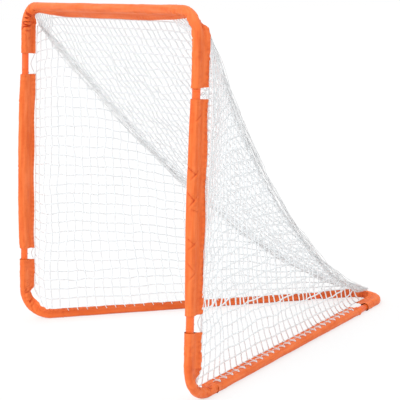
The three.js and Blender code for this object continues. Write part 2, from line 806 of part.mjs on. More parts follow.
for (const side of sides) {
  const { window } = side;
  const upper = [upperJoint - window.upperBelow, upperJoint + window.upperAbove];
  const lower = [legLength - window.lowerBelow, legLength + window.lowerAbove];
  add(`${side.name}_upper_edge_cord`, windowCord(side, ...upper), netTwine);
  add(`${side.name}_lower_edge_cord`, windowCord(side, ...lower), netTwine);
  add(`${side.name}_lacing_cord`, lacingCord(side), netTwine);
}

// The origin is the middle of the goal's footprint, on the ground
const bounds = new THREE.Box3().setFromObject(goal);
const middle = bounds.getCenter(new THREE.Vector3());
goal.position.set(-middle.x, -middle.y, -bounds.min.z);

export default goal;
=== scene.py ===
# %% [markdown]
# # A knock-down lacrosse goal
# A backyard goal is a cage of steel tube that plugs together, dressed in orange cloth sleeves that hold
# the edge of a white net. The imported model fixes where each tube, button, sleeve and net sits, so this
# script starts by loading it, and everything below is modelled round the same lines, in metres.

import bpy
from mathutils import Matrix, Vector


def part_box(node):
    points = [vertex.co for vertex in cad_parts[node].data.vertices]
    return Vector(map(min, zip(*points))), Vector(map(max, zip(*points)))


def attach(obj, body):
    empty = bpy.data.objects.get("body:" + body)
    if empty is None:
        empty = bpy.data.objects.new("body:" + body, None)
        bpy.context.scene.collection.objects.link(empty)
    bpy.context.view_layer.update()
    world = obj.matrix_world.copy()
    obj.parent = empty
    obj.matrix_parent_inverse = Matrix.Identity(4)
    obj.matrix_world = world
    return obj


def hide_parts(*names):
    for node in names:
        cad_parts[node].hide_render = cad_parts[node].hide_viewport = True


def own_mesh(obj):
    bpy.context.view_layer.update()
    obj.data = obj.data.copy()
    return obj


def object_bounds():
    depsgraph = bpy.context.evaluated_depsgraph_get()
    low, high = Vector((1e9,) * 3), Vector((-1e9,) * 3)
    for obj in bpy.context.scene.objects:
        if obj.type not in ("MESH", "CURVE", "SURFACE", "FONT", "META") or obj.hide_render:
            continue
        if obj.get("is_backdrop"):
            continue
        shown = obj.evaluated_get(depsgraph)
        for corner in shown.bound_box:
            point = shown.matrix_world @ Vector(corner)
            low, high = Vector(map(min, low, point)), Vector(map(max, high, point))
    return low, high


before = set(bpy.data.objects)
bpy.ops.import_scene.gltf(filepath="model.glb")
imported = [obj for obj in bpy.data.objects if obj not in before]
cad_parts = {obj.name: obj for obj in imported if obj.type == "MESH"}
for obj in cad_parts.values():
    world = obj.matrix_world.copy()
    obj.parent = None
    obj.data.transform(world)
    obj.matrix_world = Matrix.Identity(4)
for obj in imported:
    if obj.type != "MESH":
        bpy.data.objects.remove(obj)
cad_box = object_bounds()

# %% Libraries
import math
from collections import namedtuple

import bpy
from mathutils import Matrix, Vector, noise

# %% [markdown]
# ## The lines of the frame
# All the pieces follow the axes of the tubes: two posts that lean back a little, a crossbar, and two
# ground bars that meet in a rounded apex. They could be traced by hand as curves, but every piece needs
# the same lines, so they are written once as points and directions, and bends are worked out from them.

# %% Sizes of the frame
mouth_width = 1.2192
post_length = 1.1938
goal_depth = 1.394
post_lean = 0.0608
tube_radius = 0.0127
tube_wall = 0.0012
top_bend_radius = 0.084
foot_bend_radius = 0.105
apex_bend_radius = 0.088
leg_length = 0.236
apex_leg_length = 0.338
sleeve_radius = 0.01455
front_line = -0.6318940
packed_sides = 12
ground_height = sleeve_radius * math.cos(math.pi / packed_sides)
print("mouth", mouth_width, "m wide, posts", post_length, "m long")

# %% Axes of the left half
across = Vector((1, 0, 0))
back = Vector((0, 1, 0))
up = Vector((0, 0, 1))
foot = Vector((tube_radius - mouth_width / 2, front_line, ground_height))
apex = Vector((0, front_line + goal_depth, ground_height))
post = Vector((0, post_lean, 1)).normalized()
bar = (apex - foot).normalized()
bar_length = (apex - foot).length
top_corner = foot + post * post_length
inward = Vector((bar.y, -bar.x, 0))
upper_joint = post_length - leg_length
rear_joint = bar_length - apex_leg_length


def turned(start, towards, angle):
    """The unit vector start, turned towards another one."""
    return start * math.cos(angle) + towards * math.sin(angle)


def mix(a, b, share):
    return a + (b - a) * share


def eased(share):
    share = min(max(share, 0), 1)
    return share * share * (3 - 2 * share)


ground_flap_rise = math.radians(30)
crossbar_flap_drop = math.radians(-55)
ground_flap = turned(inward, up, ground_flap_rise)
crossbar_flap = turned(back, up, crossbar_flap_drop)
print("ground bar", round(bar_length, 4), "m, upper joint at", round(upper_joint, 4), "m")

# %% Stations along the tubes
Station = namedtuple("Station", "at along forward aside")


def station(at, along, flap):
    """A place on a tube: its point, the way along it, and the ways to the flap and across it."""
    forward = (flap - along * flap.dot(along)).normalized()
    return Station(at, along, forward, along.cross(forward))


def on_bar(distance):
    return station(foot + bar * distance, -bar, ground_flap)


def on_post(height):
    return station(foot + post * height, post, back)


def on_crossbar(distance):
    return station(top_corner + across * distance, across, crossbar_flap)


print("post leans back", round(math.degrees(math.atan(post_lean)), 1), "degrees")


# %% Bends between the tubes
def bend_run(radius, into, out_of):
    return radius * math.tan(math.acos(into.dot(out_of)) / 2)


def on_bend(corner, into, out_of, radius, flap_at, share):
    """The station a share of the way round a bend, and the way from there to the bend's centre."""
    turn = math.acos(into.dot(out_of))
    normal = (out_of - into * math.cos(turn)).normalized()
    centre = corner - into * (radius * math.tan(turn / 2)) + normal * radius
    to_centre = turned(normal, into, -turn * share)
    along = turned(into, normal, turn * share)
    return station(centre - to_centre * radius, along, flap_at(share, to_centre))


def foot_bend(share):
    flap_at = lambda s, to_centre: mix(ground_flap, back, eased(s))
    return on_bend(foot, -bar, post, foot_bend_radius, flap_at, share)


def top_bend(share):
    flap_at = lambda s, to_centre: mix(back, crossbar_flap, eased(s))
    return on_bend(top_corner, post, across, top_bend_radius, flap_at, share)


mirrored_bar = Vector((-bar.x, bar.y, 0))


def apex_bend(share):
    flap_at = lambda s, to_centre: turned(to_centre, up, ground_flap_rise)
    return on_bend(apex, mirrored_bar, -bar, apex_bend_radius, flap_at, share)


print("apex bend:", round(math.degrees(math.acos(mirrored_bar.dot(-bar)))), "degrees")


# %% The right half
def flipped(point):
    return Vector((-point.x, point.y, point.z))


def mirrored(place):
    return Station(*(flipped(v) for v in place))


def beside(place, forward, aside):
    return place.at + place.forward * forward + place.aside * aside


sides = {"left": lambda place: place, "right": mirrored}
foot_run = bend_run(foot_bend_radius, -bar, post)
top_run = bend_run(top_bend_radius, post, across)
apex_run = bend_run(apex_bend_radius, mirrored_bar, -bar)
packed_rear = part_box("apex_tube")[1].y
rear_of_tube = apex_bend(0.5).at.y + tube_radius * math.cos(math.pi / packed_sides)
print("apex tube: packed", round(packed_rear, 4), "m, these lines", round(rear_of_tube, 4), "m")

# %% [markdown]
# ## Camera
# The goal was photographed from its front right, a little above the crossbar, with a long lens. The
# camera could be turned by eye. Here its place, turn and lens come from a fit to the corners and
# joints of the frame, so that the picture and the model share one view.

# %% Camera
photo_side = 400
focal_pixels = 1199
camera_place = Vector((3.579, -1.853, 1.302))
yaw, pitch, roll = (math.radians(angle) for angle in (57.29, 10.76, -1.36))
look = Vector((-math.sin(yaw) * math.cos(pitch), math.cos(yaw) * math.cos(pitch), -math.sin(pitch)))
level = Vector((math.cos(yaw), math.sin(yaw), 0))
rise = level.cross(look)
side_way = level * math.cos(roll) + rise * math.sin(roll)
up_way = rise * math.cos(roll) - level * math.sin(roll)
camera_data = bpy.data.cameras.new("Camera")
camera = bpy.data.objects.new("Camera", camera_data)
bpy.context.scene.collection.objects.link(camera)
camera_data.sensor_width = 36
camera_data.lens = focal_pixels / photo_side * camera_data.sensor_width
turn = Matrix((side_way, up_way, -look)).transposed().to_4x4()
ground_middle = Vector((0, front_line, ground_height))
camera.matrix_world = Matrix.Translation(camera_place + ground_middle) @ turn
bpy.context.scene.camera = camera
print("lens", round(camera_data.lens, 1), "mm")

# %% [markdown]
# ## Light, floor and background
# The goal stands on plain white. A wide soft sun from the front gives the round forms their shade, and
# an even white world fills in the rest, both at a level where a colour renders about as it is written.
# The floor could be hidden, but then nothing would ground the goal. To the camera it is white and keeps
# the shadow. To all other rays it is plain white paint, which lights the undersides of the sleeves.

# %% Light
sun_strength = 1.3
sun_spread = math.radians(40)
sun_turn = (math.radians(46), 0, math.radians(12))
fill_strength = 0.9
scene = bpy.context.scene
scene.view_settings.view_transform = "Standard"
sun_data = bpy.data.lights.new("Soft sun", "SUN")
sun_data.energy = sun_strength
sun_data.angle = sun_spread
sun = bpy.data.objects.new("Soft sun", sun_data)
sun.rotation_euler = sun_turn
scene.collection.objects.link(sun)
print("sun", sun_strength, "and world", fill_strength)


# %% White that only the camera sees
def grey(value):
    return (value, value, value, 1)


def white_to_camera(nodes, links, factor_input):
    """Joins Is Camera, Glossy and Transmission Ray into one factor."""
    rays = nodes.new("ShaderNodeLightPath")
    total = rays.outputs["Is Camera Ray"]
    for name in ("Is Glossy Ray", "Is Transmission Ray"):
        join = nodes.new("ShaderNodeMath")
        join.operation = "MAXIMUM"
        links.new(total, join.inputs[0])
        links.new(rays.outputs[name], join.inputs[1])
        total = join.outputs[0]
    links.new(total, factor_input)


world = bpy.data.worlds.new("White room")
scene.world = world
world.use_nodes = True
nodes, links = world.node_tree.nodes, world.node_tree.links
nodes.clear()
fill = nodes.new("ShaderNodeBackground")
fill.inputs["Strength"].default_value = fill_strength
shown = nodes.new("ShaderNodeBackground")
shown.inputs["Strength"].default_value = 1.0
for background in (fill, shown):
    background.inputs["Color"].default_value = grey(1)
choose = nodes.new("ShaderNodeMixShader")
white_to_camera(nodes, links, choose.inputs["Fac"])
links.new(fill.outputs[0], choose.inputs[1])
links.new(shown.outputs[0], choose.inputs[2])
links.new(choose.outputs[0], nodes.new("ShaderNodeOutputWorld").inputs["Surface"])
print("world has", len(nodes), "nodes")

# %% Floor
floor_reach = 30
floor_level = -0.0006
floor_white, floor_matt, floor_glow = 0.86, 0.3, 0.68
floor_mesh = bpy.data.meshes.new("floor")
corners = [(-floor_reach, -floor_reach), (floor_reach, -floor_reach), (floor_reach, floor_reach)]
corners.append((-floor_reach, floor_reach))
floor_mesh.from_pydata([(x, y, floor_level) for x, y in corners], [], [(0, 1, 2, 3)])
floor = bpy.data.objects.new("floor", floor_mesh)
scene.collection.objects.link(floor)
floor_paint = bpy.data.materials.new("White floor")
floor_paint.use_nodes = True
nodes, links = floor_paint.node_tree.nodes, floor_paint.node_tree.links
nodes.clear()
paint = nodes.new("ShaderNodeBsdfDiffuse")
paint.inputs["Color"].default_value = grey(floor_white)
matt = nodes.new("ShaderNodeBsdfDiffuse")
matt.inputs["Color"].default_value = grey(floor_matt)
glow = nodes.new("ShaderNodeEmission")
glow.inputs["Color"].default_value = grey(1)
glow.inputs["Strength"].default_value = floor_glow
white = nodes.new("ShaderNodeAddShader")
links.new(matt.outputs[0], white.inputs[0])
links.new(glow.outputs[0], white.inputs[1])
seen = nodes.new("ShaderNodeMixShader")
white_to_camera(nodes, links, seen.inputs["Fac"])
links.new(paint.outputs[0], seen.inputs[1])
links.new(white.outputs[0], seen.inputs[2])
links.new(seen.outputs[0], nodes.new("ShaderNodeOutputMaterial").inputs["Surface"])
floor_mesh.materials.append(floor_paint)
floor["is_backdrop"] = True
print("floor and light ready")

# %% [markdown]
# ## Finishes
# The goal has six finishes: glossy orange powder coat on the tubes, coated woven polyester on the
# sleeves, orange thread, plain white net twine, plated steel and spring steel. Photographs of real
# samples could be projected on them. Here each one is built from noise and waves, so that it stays
# sharp close up and follows the piece: the cloth reads a map in metres, and the twine reads how far
# along and how far round the strand it is. The cloth is also painted darker and redder in the valleys
# of its pleats, as painted shade where the creases lie in shadow, and it reads how deep it lies from a
# value stored on its points.

# %% Helpers for finishes
def linear(red, green, blue):
    """A colour as seen in a picture, from 0 to 255, turned into the renderer's numbers."""
    curve = lambda c: c / 12.92 if c <= 0.04045 else ((c + 0.055) / 1.055) ** 2.4
    return (*(curve(c / 255) for c in (red, green, blue)), 1)


def new_finish(name, roughness, **numbers):
    finish = bpy.data.materials.new(name)
    finish.use_nodes = True
    shader = finish.node_tree.nodes["Principled BSDF"]
    shader.inputs["Roughness"].default_value = roughness
    for label, value in numbers.items():
        shader.inputs[label.replace("_", " ")].default_value = value
    return finish, shader


def add_node(finish, kind, settings=None, **values):
    made = finish.node_tree.nodes.new(kind)
    for label, value in (settings or {}).items():
        setattr(made, label, value)
    for label, value in values.items():
        made.inputs[label.replace("_", " ")].default_value = value
    return made


def join(finish, output, socket):
    finish.node_tree.links.new(output, socket)


print("colour 128 of 255 renders from", round(linear(128, 128, 128)[0], 3))


# %% Noise, ramps and bumps
def noise_on(finish, vector, size, detail=3.0, stretch=(1, 1, 1)):
    """Noise with features of that size in metres, longer where stretch is larger."""
    mapping = add_node(finish, "ShaderNodeMapping")
    mapping.inputs["Scale"].default_value = [1 / (size * part) for part in stretch]
    join(finish, vector, mapping.inputs["Vector"])
    texture = add_node(finish, "ShaderNodeTexNoise", Scale=1.0, Detail=detail, Roughness=0.55)
    join(finish, mapping.outputs[0], texture.inputs["Vector"])
    return texture.outputs["Fac"]


def ramp(finish, factor, stops, socket):
    """Colours a factor: stops are pairs of a place from 0 to 1 and a colour."""
    made = add_node(finish, "ShaderNodeValToRGB")
    elements = made.color_ramp.elements
    while len(elements) < len(stops):
        elements.new(0.5)
    for element, (place, colour) in zip(elements, stops):
        element.position = place
        element.color = colour
    join(finish, factor, made.inputs["Fac"])
    join(finish, made.outputs["Color"], socket)


def bump(finish, height, depth, strength, under=None):
    made = add_node(finish, "ShaderNodeBump", Strength=strength, Distance=depth)
    join(finish, height, made.inputs["Height"])
    if under is not None:
        join(finish, under, made.inputs["Normal"])
    return made.outputs["Normal"]


# %% Powder coat and steel
def painted():
    finish, shader = new_finish("Orange powder coat", 0.34, Coat_Weight=0.06, Coat_Roughness=0.15)
    place = add_node(finish, "ShaderNodeTexCoord").outputs["Object"]
    tint = noise_on(finish, place, 0.09)
    orange = [(0.3, linear(249, 98, 24)), (0.7, linear(254, 110, 34))]
    ramp(finish, tint, orange, shader.inputs["Base Color"])
    wear = noise_on(finish, place, 0.012, detail=5)
    ramp(finish, wear, [(0.35, grey(0.26)), (0.8, grey(0.46))], shader.inputs["Roughness"])
    peel = noise_on(finish, place, 0.0012, detail=1)
    join(finish, bump(finish, peel, 0.0002, 0.25), shader.inputs["Normal"])
    return finish


def steel(name, colour, roughness, grain):
    finish, shader = new_finish(name, roughness, Metallic=1.0)
    place = add_node(finish, "ShaderNodeTexCoord").outputs["Object"]
    tint = noise_on(finish, place, grain, stretch=(1, 1, 4))
    darker = tuple(0.8 * part for part in colour[:3]) + (1,)
    ramp(finish, tint, [(0.35, darker), (0.65, colour)], shader.inputs["Base Color"])
    brushed = noise_on(finish, place, grain / 4, detail=2, stretch=(1, 1, 8))
    join(finish, bump(finish, brushed, 0.0001, 0.3), shader.inputs["Normal"])
    return finish


powder_coat = painted()
plated_steel = steel("Plated steel", linear(205, 208, 211), 0.25, 0.002)
spring_steel = steel("Spring steel", linear(150, 152, 155), 0.36, 0.003)
print("metal finishes ready")


# %% Coated cloth
cloth_map = "cloth"
crease_shade_name = "pleat"
thread_pitch = 0.0009


def wave_along(finish, coordinate, pitch):
    """A sine of a coordinate, one wave for each pitch."""
    scaled = add_node(finish, "ShaderNodeMath", {"operation": "MULTIPLY"})
    join(finish, coordinate, scaled.inputs[0])
    scaled.inputs[1].default_value = 2 * math.pi / pitch
    sine = add_node(finish, "ShaderNodeMath", {"operation": "SINE"})
    join(finish, scaled.outputs[0], sine.inputs[0])
    return sine.outputs[0]


def weave_height(finish, place):
    """A plain weave: bumps where one thread passes over the other."""
    apart = add_node(finish, "ShaderNodeSeparateXYZ")
    join(finish, place, apart.inputs[0])
    crossing = add_node(finish, "ShaderNodeMath", {"operation": "MULTIPLY"})
    for i, axis in enumerate("XY"):
        join(finish, wave_along(finish, apart.outputs[axis], thread_pitch * 2), crossing.inputs[i])
    return crossing.outputs[0]


def cloth(name, dark, mid, light, roughness):
    finish, shader = new_finish(name, roughness)
    shader.inputs["Specular IOR Level"].default_value = 0.2
    place = add_node(finish, "ShaderNodeUVMap", {"uv_map": cloth_map}).outputs[0]
    streaks = noise_on(finish, place, 0.012, detail=4, stretch=(1, 14, 1))
    # Painted shade: the cloth's colour is multiplied darker and redder in the valleys of its pleats, by a
    # value stored on its points.
    painted_crease_shade = add_node(finish, "ShaderNodeMix", {"data_type": "RGBA", "blend_type": "MULTIPLY"})
    painted_crease_shade.inputs["Factor"].default_value = 1
    ramp(finish, streaks, [(0.3, dark), (0.5, mid), (0.7, light)], painted_crease_shade.inputs[6])
    pleat = add_node(finish, "ShaderNodeAttribute", {"attribute_name": crease_shade_name})
    # Stops of the painted crease shade, darkest deep in a valley.
    deep = [(0.0, (0.62, 0.3, 0.22, 1)), (0.38, (0.9, 0.78, 0.72, 1)), (0.55, grey(1))]
    ramp(finish, pleat.outputs["Fac"], deep, painted_crease_shade.inputs[7])
    join(finish, painted_crease_shade.outputs[2], shader.inputs["Base Color"])
    rub = noise_on(finish, place, 0.03, detail=5)
    span = [(0.3, grey(roughness - 0.1)), (0.75, grey(roughness + 0.12))]
    ramp(finish, rub, span, shader.inputs["Roughness"])
    woven = bump(finish, weave_height(finish, place), 0.0002, 0.3)
    soft = noise_on(finish, place, 0.007, detail=3, stretch=(1, 5, 1))
    crumpled = bump(finish, soft, 0.0012, 0.35, woven)
    join(finish, crumpled, shader.inputs["Normal"])
    return finish


orange_cloth = cloth(
    "Orange coated cloth", linear(236, 110, 48), linear(245, 121, 60), linear(252, 133, 76), 0.5
)
# Painted shade: the back of the cloth is a dark red that stands in for the shade inside the sleeves and
# at their open ends.
shaded_cloth_back = cloth(
    "Back of the cloth in painted shade", linear(126, 14, 4), linear(146, 20, 6), linear(168, 30, 10), 0.8
)
print("cloth finishes ready")


# %% Twine
along_name, around_name = "along", "around"


def twine(name, dark, light, lay, fuzz):
    """Twisted white twine: its bumps wind round the strand once for each lay of its length."""
    finish, shader = new_finish(name, 0.85, Sheen_Weight=0.5, Sheen_Roughness=0.5)
    shader.inputs["Specular IOR Level"].default_value = 0.2
    along = add_node(finish, "ShaderNodeAttribute", {"attribute_name": along_name})
    around = add_node(finish, "ShaderNodeAttribute", {"attribute_name": around_name})
    advance = add_node(finish, "ShaderNodeMath", {"operation": "MULTIPLY_ADD"})
    join(finish, along.outputs["Fac"], advance.inputs[0])
    advance.inputs[1].default_value = 1 / lay
    join(finish, around.outputs["Fac"], advance.inputs[2])
    plies = wave_along(finish, advance.outputs[0], 1 / 2)
    place = add_node(finish, "ShaderNodeTexCoord").outputs["Object"]
    fibres = noise_on(finish, place, fuzz, detail=4)
    ramp(finish, fibres, [(0.3, dark), (0.7, light)], shader.inputs["Base Color"])
    twisted = bump(finish, plies, 0.0006, 0.6)
    join(finish, bump(finish, fibres, 0.0003, 0.4, twisted), shader.inputs["Normal"])
    return finish


net_twine = twine("White net twine", linear(241, 245, 247), linear(249, 252, 254), 0.012, 0.002)
seam_twine = twine("Seam twine", linear(248, 250, 252), linear(254, 255, 255), 0.02, 0.003)
thread = twine("Orange thread", linear(214, 84, 30), linear(240, 112, 52), 0.002, 0.001)
print("twine finishes ready")

# %% [markdown]
# ## Making meshes
# Tubes and sleeves are both rows of rings joined by faces. Curves with a bevel would make them too, but
# beads, plug ends and folded flaps need rings of different shapes, so the points are placed in code.
# A small helper joins the rings, checks which way the faces look, and makes one object of them.

# %% Helpers for meshes
root = "goal"


def new_piece(name, mesh, finishes, sharp=math.radians(40)):
    for finish in finishes:
        mesh.materials.append(finish)
    mesh.shade_smooth()
    mesh.set_sharp_from_angle(angle=sharp)
    piece = bpy.data.objects.new(name, mesh)
    scene.collection.objects.link(piece)
    return piece


def ring_faces(rings, closed):
    """Four-sided faces between rings of as many points. closed joins the last ring to the first."""
    count = len(rings[0])
    faces = []
    for i in range(len(rings) if closed else len(rings) - 1):
        following = (i + 1) % len(rings)
        for j in range(count):
            k = (j + 1) % count
            faces.append((i * count + j, i * count + k, following * count + k, following * count + j))
    return faces


def signed_volume(points, faces):
    total = 0
    for face in faces:
        for b, c in zip(face[1:], face[2:]):
            total += points[face[0]].dot(points[b].cross(points[c]))
    return total


def solid_mesh(name, points, faces):
    """A closed mesh with its faces turned outwards."""
    if signed_volume(points, faces) < 0:
        faces = [tuple(reversed(face)) for face in faces]
    mesh = bpy.data.meshes.new(name)
    mesh.from_pydata(points, [], faces)
    mesh.validate()
    return mesh


def rod_faces(rings):
    count = len(rings[0])
    last = (len(rings) - 1) * count
    ends = [tuple(reversed(range(count))), tuple(range(last, last + count))]
    return ring_faces(rings, False) + ends


def flat_points(rings):
    return [point for ring in rings for point in ring]


# %% Keeping a finished mesh
def settled(seed, name):
    """The evaluated shape of an object as a plain mesh of its own. The seed is removed."""
    bpy.context.view_layer.update()
    graph = bpy.context.evaluated_depsgraph_get()
    evaluated = seed.evaluated_get(graph)
    mesh = bpy.data.meshes.new_from_object(
        evaluated, preserve_all_data_layers=True, depsgraph=graph
    )
    mesh.name = name
    bpy.data.objects.remove(seed)
    piece = bpy.data.objects.new(name, mesh)
    scene.collection.objects.link(piece)
    return piece


def spaced(start, end, pitch):
    """Values from start to end, as near to a pitch apart as divides the run evenly."""
    count = max(2, math.ceil(abs(end - start) / pitch))
    return [mix(start, end, i / count) for i in range(count + 1)]


def size_of(piece):
    return f"{piece.name}: {sum(len(f.vertices) - 2 for f in piece.data.polygons)} triangles"


def seat(piece, node, body=root):
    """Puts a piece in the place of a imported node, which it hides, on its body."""
    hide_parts(node)
    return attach(piece, body)


print("pieces ride on", root, "unless they are buttons")

# %% [markdown]
# ## Tubes
# The frame is 1 inch steel tube in six pieces. The bent ones end in a swaged spigot that slides into
# the next tube as far as a rolled bead, and a hole through both takes the snap button. Each tube is one
# closed wall, outside and bore, made of rings along its line. The button holes are cut with a Boolean,
# because a hole through a curved wall is hard to place by hand, and the result is kept as a plain mesh.

# %% Sizes of the joints
tube_sides = 40
fit_clearance = 0.0003
spigot_length = 0.045
spigot_radius = tube_radius - tube_wall - fit_clearance
bead_offset = 0.003
bead_width = 0.003
bead_height = 0.0005
throat_length = 0.003
edge_round = 0.0003
button_radius = 0.0036
button_offset = 0.011
print("a spigot is", round(spigot_radius * 2000, 1), "mm across")


def circle(place, radius, count):
    angles = (2 * math.pi * (i + 0.5) / count for i in range(count))
    return [beside(place, radius * math.cos(a), radius * math.sin(a)) for a in angles]


joint_at = {
    "upper": lambda distance: on_post(upper_joint + distance),
    "lower": lambda distance: on_post(leg_length - distance),
    "rear": lambda distance: on_bar(rear_joint + distance),
}
button_at = {
    "upper": on_post(upper_joint - button_offset),
    "lower": on_post(leg_length + button_offset),
    "rear": on_bar(rear_joint - button_offset),
}


# %% Tube walls
def plug(at):
    """Outside and bore of a spigot, as pairs of a station and a radius, from its tip to its tube."""
    bead = [
        (bead_offset + bead_width * i / 8, tube_radius + bead_height * math.sin(math.pi * i / 8))
        for i in range(9)
    ]
    outside = [
        (-spigot_length, spigot_radius - edge_round),
        (edge_round - spigot_length, spigot_radius),
        (-edge_round, spigot_radius),
        (0, spigot_radius + edge_round),
        (0, tube_radius - edge_round),
        (edge_round, tube_radius),
    ]
    bore = [
        (-spigot_length, spigot_radius - tube_wall),
        (throat_length / 2, spigot_radius - tube_wall),
        (throat_length + bead_offset, tube_radius - tube_wall),
    ]
    place = lambda pair: (at(pair[0]), pair[1])
    return [place(pair) for pair in outside + bead], [place(pair) for pair in bore]


def plain_mouth(place_at, inwards):
    """Outside and bore at the plain end of a tube. inwards is the sign of the way into the tube."""
    outside = [(0, tube_radius - edge_round), (inwards * edge_round, tube_radius)]
    bore = [(0, tube_radius - tube_wall)]
    place = lambda pair: (place_at(pair[0]), pair[1])
    return [place(pair) for pair in outside], [place(pair) for pair in bore]


# %% Button holes
hole_start = 0.004
hole_sides = 24


def cutter(place):
    """A round bar through the flap's side of a joint, as a tool for its button hole."""
    reach = (hole_start, tube_radius * 2)
    turned_place = Station(place.at, place.forward, place.along, place.aside)
    rings = []
    for distance in reach:
        moved = turned_place._replace(at=place.at + place.forward * distance)
        rings.append(circle(moved, button_radius + fit_clearance, hole_sides))
    mesh = solid_mesh("hole", flat_points(rings), rod_faces(rings))
    tool = bpy.data.objects.new("hole", mesh)
    scene.collection.objects.link(tool)
    return tool


def tube(name, node, outside, bore, holes):
    rings = [circle(place, radius, tube_sides) for place, radius in outside + bore[::-1]]
    mesh = solid_mesh(name, flat_points(rings), ring_faces(rings, True))
    seed = bpy.data.objects.new(name, mesh)
    scene.collection.objects.link(seed)
    tools = [cutter(place) for place in holes]
    for tool in tools:
        cut = seed.modifiers.new("hole", "BOOLEAN")
        cut.operation = "DIFFERENCE"
        cut.solver = "EXACT"
        cut.object = tool
    piece = settled(seed, name)
    for tool in tools:
        bpy.data.objects.remove(tool)
    piece.data.materials.clear()
    piece.data.materials.append(powder_coat)
    piece.data.shade_smooth()
    piece.data.set_sharp_from_angle(angle=math.radians(35))
    seat(piece, node)
    print(size_of(piece))


# %% Make the top bow
bend_steps = 14
bend_shares = [i / bend_steps for i in range(bend_steps + 1)]


def whole(places, radius):
    return [(place, radius) for place in places]


tube_bore = tube_radius - tube_wall
left_plug, left_plug_bore = plug(joint_at["upper"])
right_plug, right_plug_bore = plug(lambda distance: mirrored(joint_at["upper"](distance)))
bow_line = [top_bend(s) for s in bend_shares] + [mirrored(top_bend(s)) for s in bend_shares[::-1]]
tube(
    "top_bow",
    "top_bow_tube",
    left_plug + whole(bow_line, tube_radius) + right_plug[::-1],
    left_plug_bore + whole(bow_line, tube_bore) + right_plug_bore[::-1],
    [button_at["upper"], mirrored(button_at["upper"])],
)

# %% Make the posts and the side tubes
for side, placed in sides.items():
    low_mouth, low_bore = plain_mouth(lambda d: placed(on_post(leg_length + fit_clearance + d)), 1)
    high_mouth, high_bore = plain_mouth(lambda d: placed(on_post(upper_joint - fit_clearance + d)), -1)
    tube(
        f"{side}_post",
        f"{side}_post_tube",
        low_mouth + high_mouth[::-1],
        low_bore + high_bore,
        [placed(button_at["upper"]), placed(button_at["lower"])],
    )
    foot_plug, foot_bore = plug(lambda distance: placed(joint_at["lower"](distance)))
    foot_line = [placed(foot_bend(s)) for s in bend_shares[::-1]]
    mouth, mouth_bore = plain_mouth(lambda d: placed(on_bar(rear_joint - fit_clearance + d)), -1)
    tube(
        f"{side}_side",
        f"{side}_side_tube",
        foot_plug + whole(foot_line, tube_radius) + mouth[::-1],
        foot_bore + whole(foot_line, tube_bore) + mouth_bore,
        [placed(button_at["lower"]), placed(button_at["rear"])],
    )

# %% Make the apex
right_rear, right_rear_bore = plug(lambda distance: mirrored(joint_at["rear"](distance)))
left_rear, left_rear_bore = plug(joint_at["rear"])
apex_line = [apex_bend(s) for s in bend_shares]
tube(
    "apex",
    "apex_tube",
    right_rear + whole(apex_line, tube_radius) + left_rear[::-1],
    right_rear_bore + whole(apex_line, tube_bore) + left_rear_bore[::-1],
    [button_at["rear"], mirrored(button_at["rear"])],
)

# %% [markdown]
# ## Snap buttons and their springs
# A snap button is a plated pin with a rounded head on one leaf of a V-shaped spring inside the spigot.
# A sphere on a cylinder would do from afar. Here the pin is turned from a profile with a small shoulder
# and a domed head, and the spring is one strip of steel bent round. Each pin rides on its own body.

# %% Sizes of the springs
button_proud = 0.0035
clip_width = 0.009
clip_thickness = 0.0007
clip_length = 0.036
clip_flat = 0.012
clip_bend_half = 0.0022
bore_flat = (spigot_radius - tube_wall) * math.cos(math.pi / packed_sides)
clip_radial = math.sqrt((bore_flat - fit_clearance) ** 2 - (clip_width / 2) ** 2)
print("a clip reaches", round(clip_radial * 1000, 2), "mm from the tube's axis")

# %% Snap button
button_sides = 28
dome_height = button_radius * 0.62
dome_steps = 8
groove_low, groove_high, groove_depth = 0.0012, 0.0020, 0.0002
least_radius_of_ring = 0.00002


def snap_button(name, node, body, place):
    base = clip_radial + fit_clearance
    top = tube_radius + button_proud
    waist = button_radius - groove_depth
    profile = [(0, base), (button_radius, base), (button_radius, base + groove_low)]
    profile += [(waist, base + groove_low + groove_depth), (waist, base + groove_high - groove_depth)]
    profile.append((button_radius, base + groove_high))
    for i in range(dome_steps + 1):
        angle = math.pi / 2 * i / dome_steps
        profile.append((button_radius * math.cos(angle), top - dome_height * (1 - math.sin(angle))))
    rings = []
    for radius, height in profile:
        middle = place.at + place.forward * height
        width = max(radius, least_radius_of_ring)
        angles = (math.tau * (i + 0.5) / button_sides for i in range(button_sides))
        ways = (place.along * math.cos(a) + place.aside * math.sin(a) for a in angles)
        rings.append([middle + way * width for way in ways])
    piece = new_piece(name, solid_mesh(name, flat_points(rings), rod_faces(rings)), [plated_steel])
    return seat(piece, node, body)


print("a button's dome has", dome_steps * button_sides, "faces")


# %% Spring clip
def clip_line():
    """The middle of the strip, from one leaf's end round the bend to the other's."""
    open_end = button_offset - bead_offset * 2
    shut_end = open_end - clip_length
    leaf = clip_radial - clip_thickness / 2
    crook = clip_bend_half - clip_thickness / 2
    upper = [(open_end, leaf), (open_end - clip_flat, leaf)]
    for share in (0.1, 0.25, 0.5, 0.75):
        upper.append((mix(open_end - clip_flat, shut_end + crook, share), mix(leaf, crook, share)))
    for i in range(7):
        angle = math.pi / 2 * (1 + i / 6)
        centre = shut_end + clip_thickness / 2 + crook
        upper.append((centre + crook * math.cos(angle), crook * math.sin(angle)))
    return upper + [(x, -y) for x, y in upper[-2::-1]]


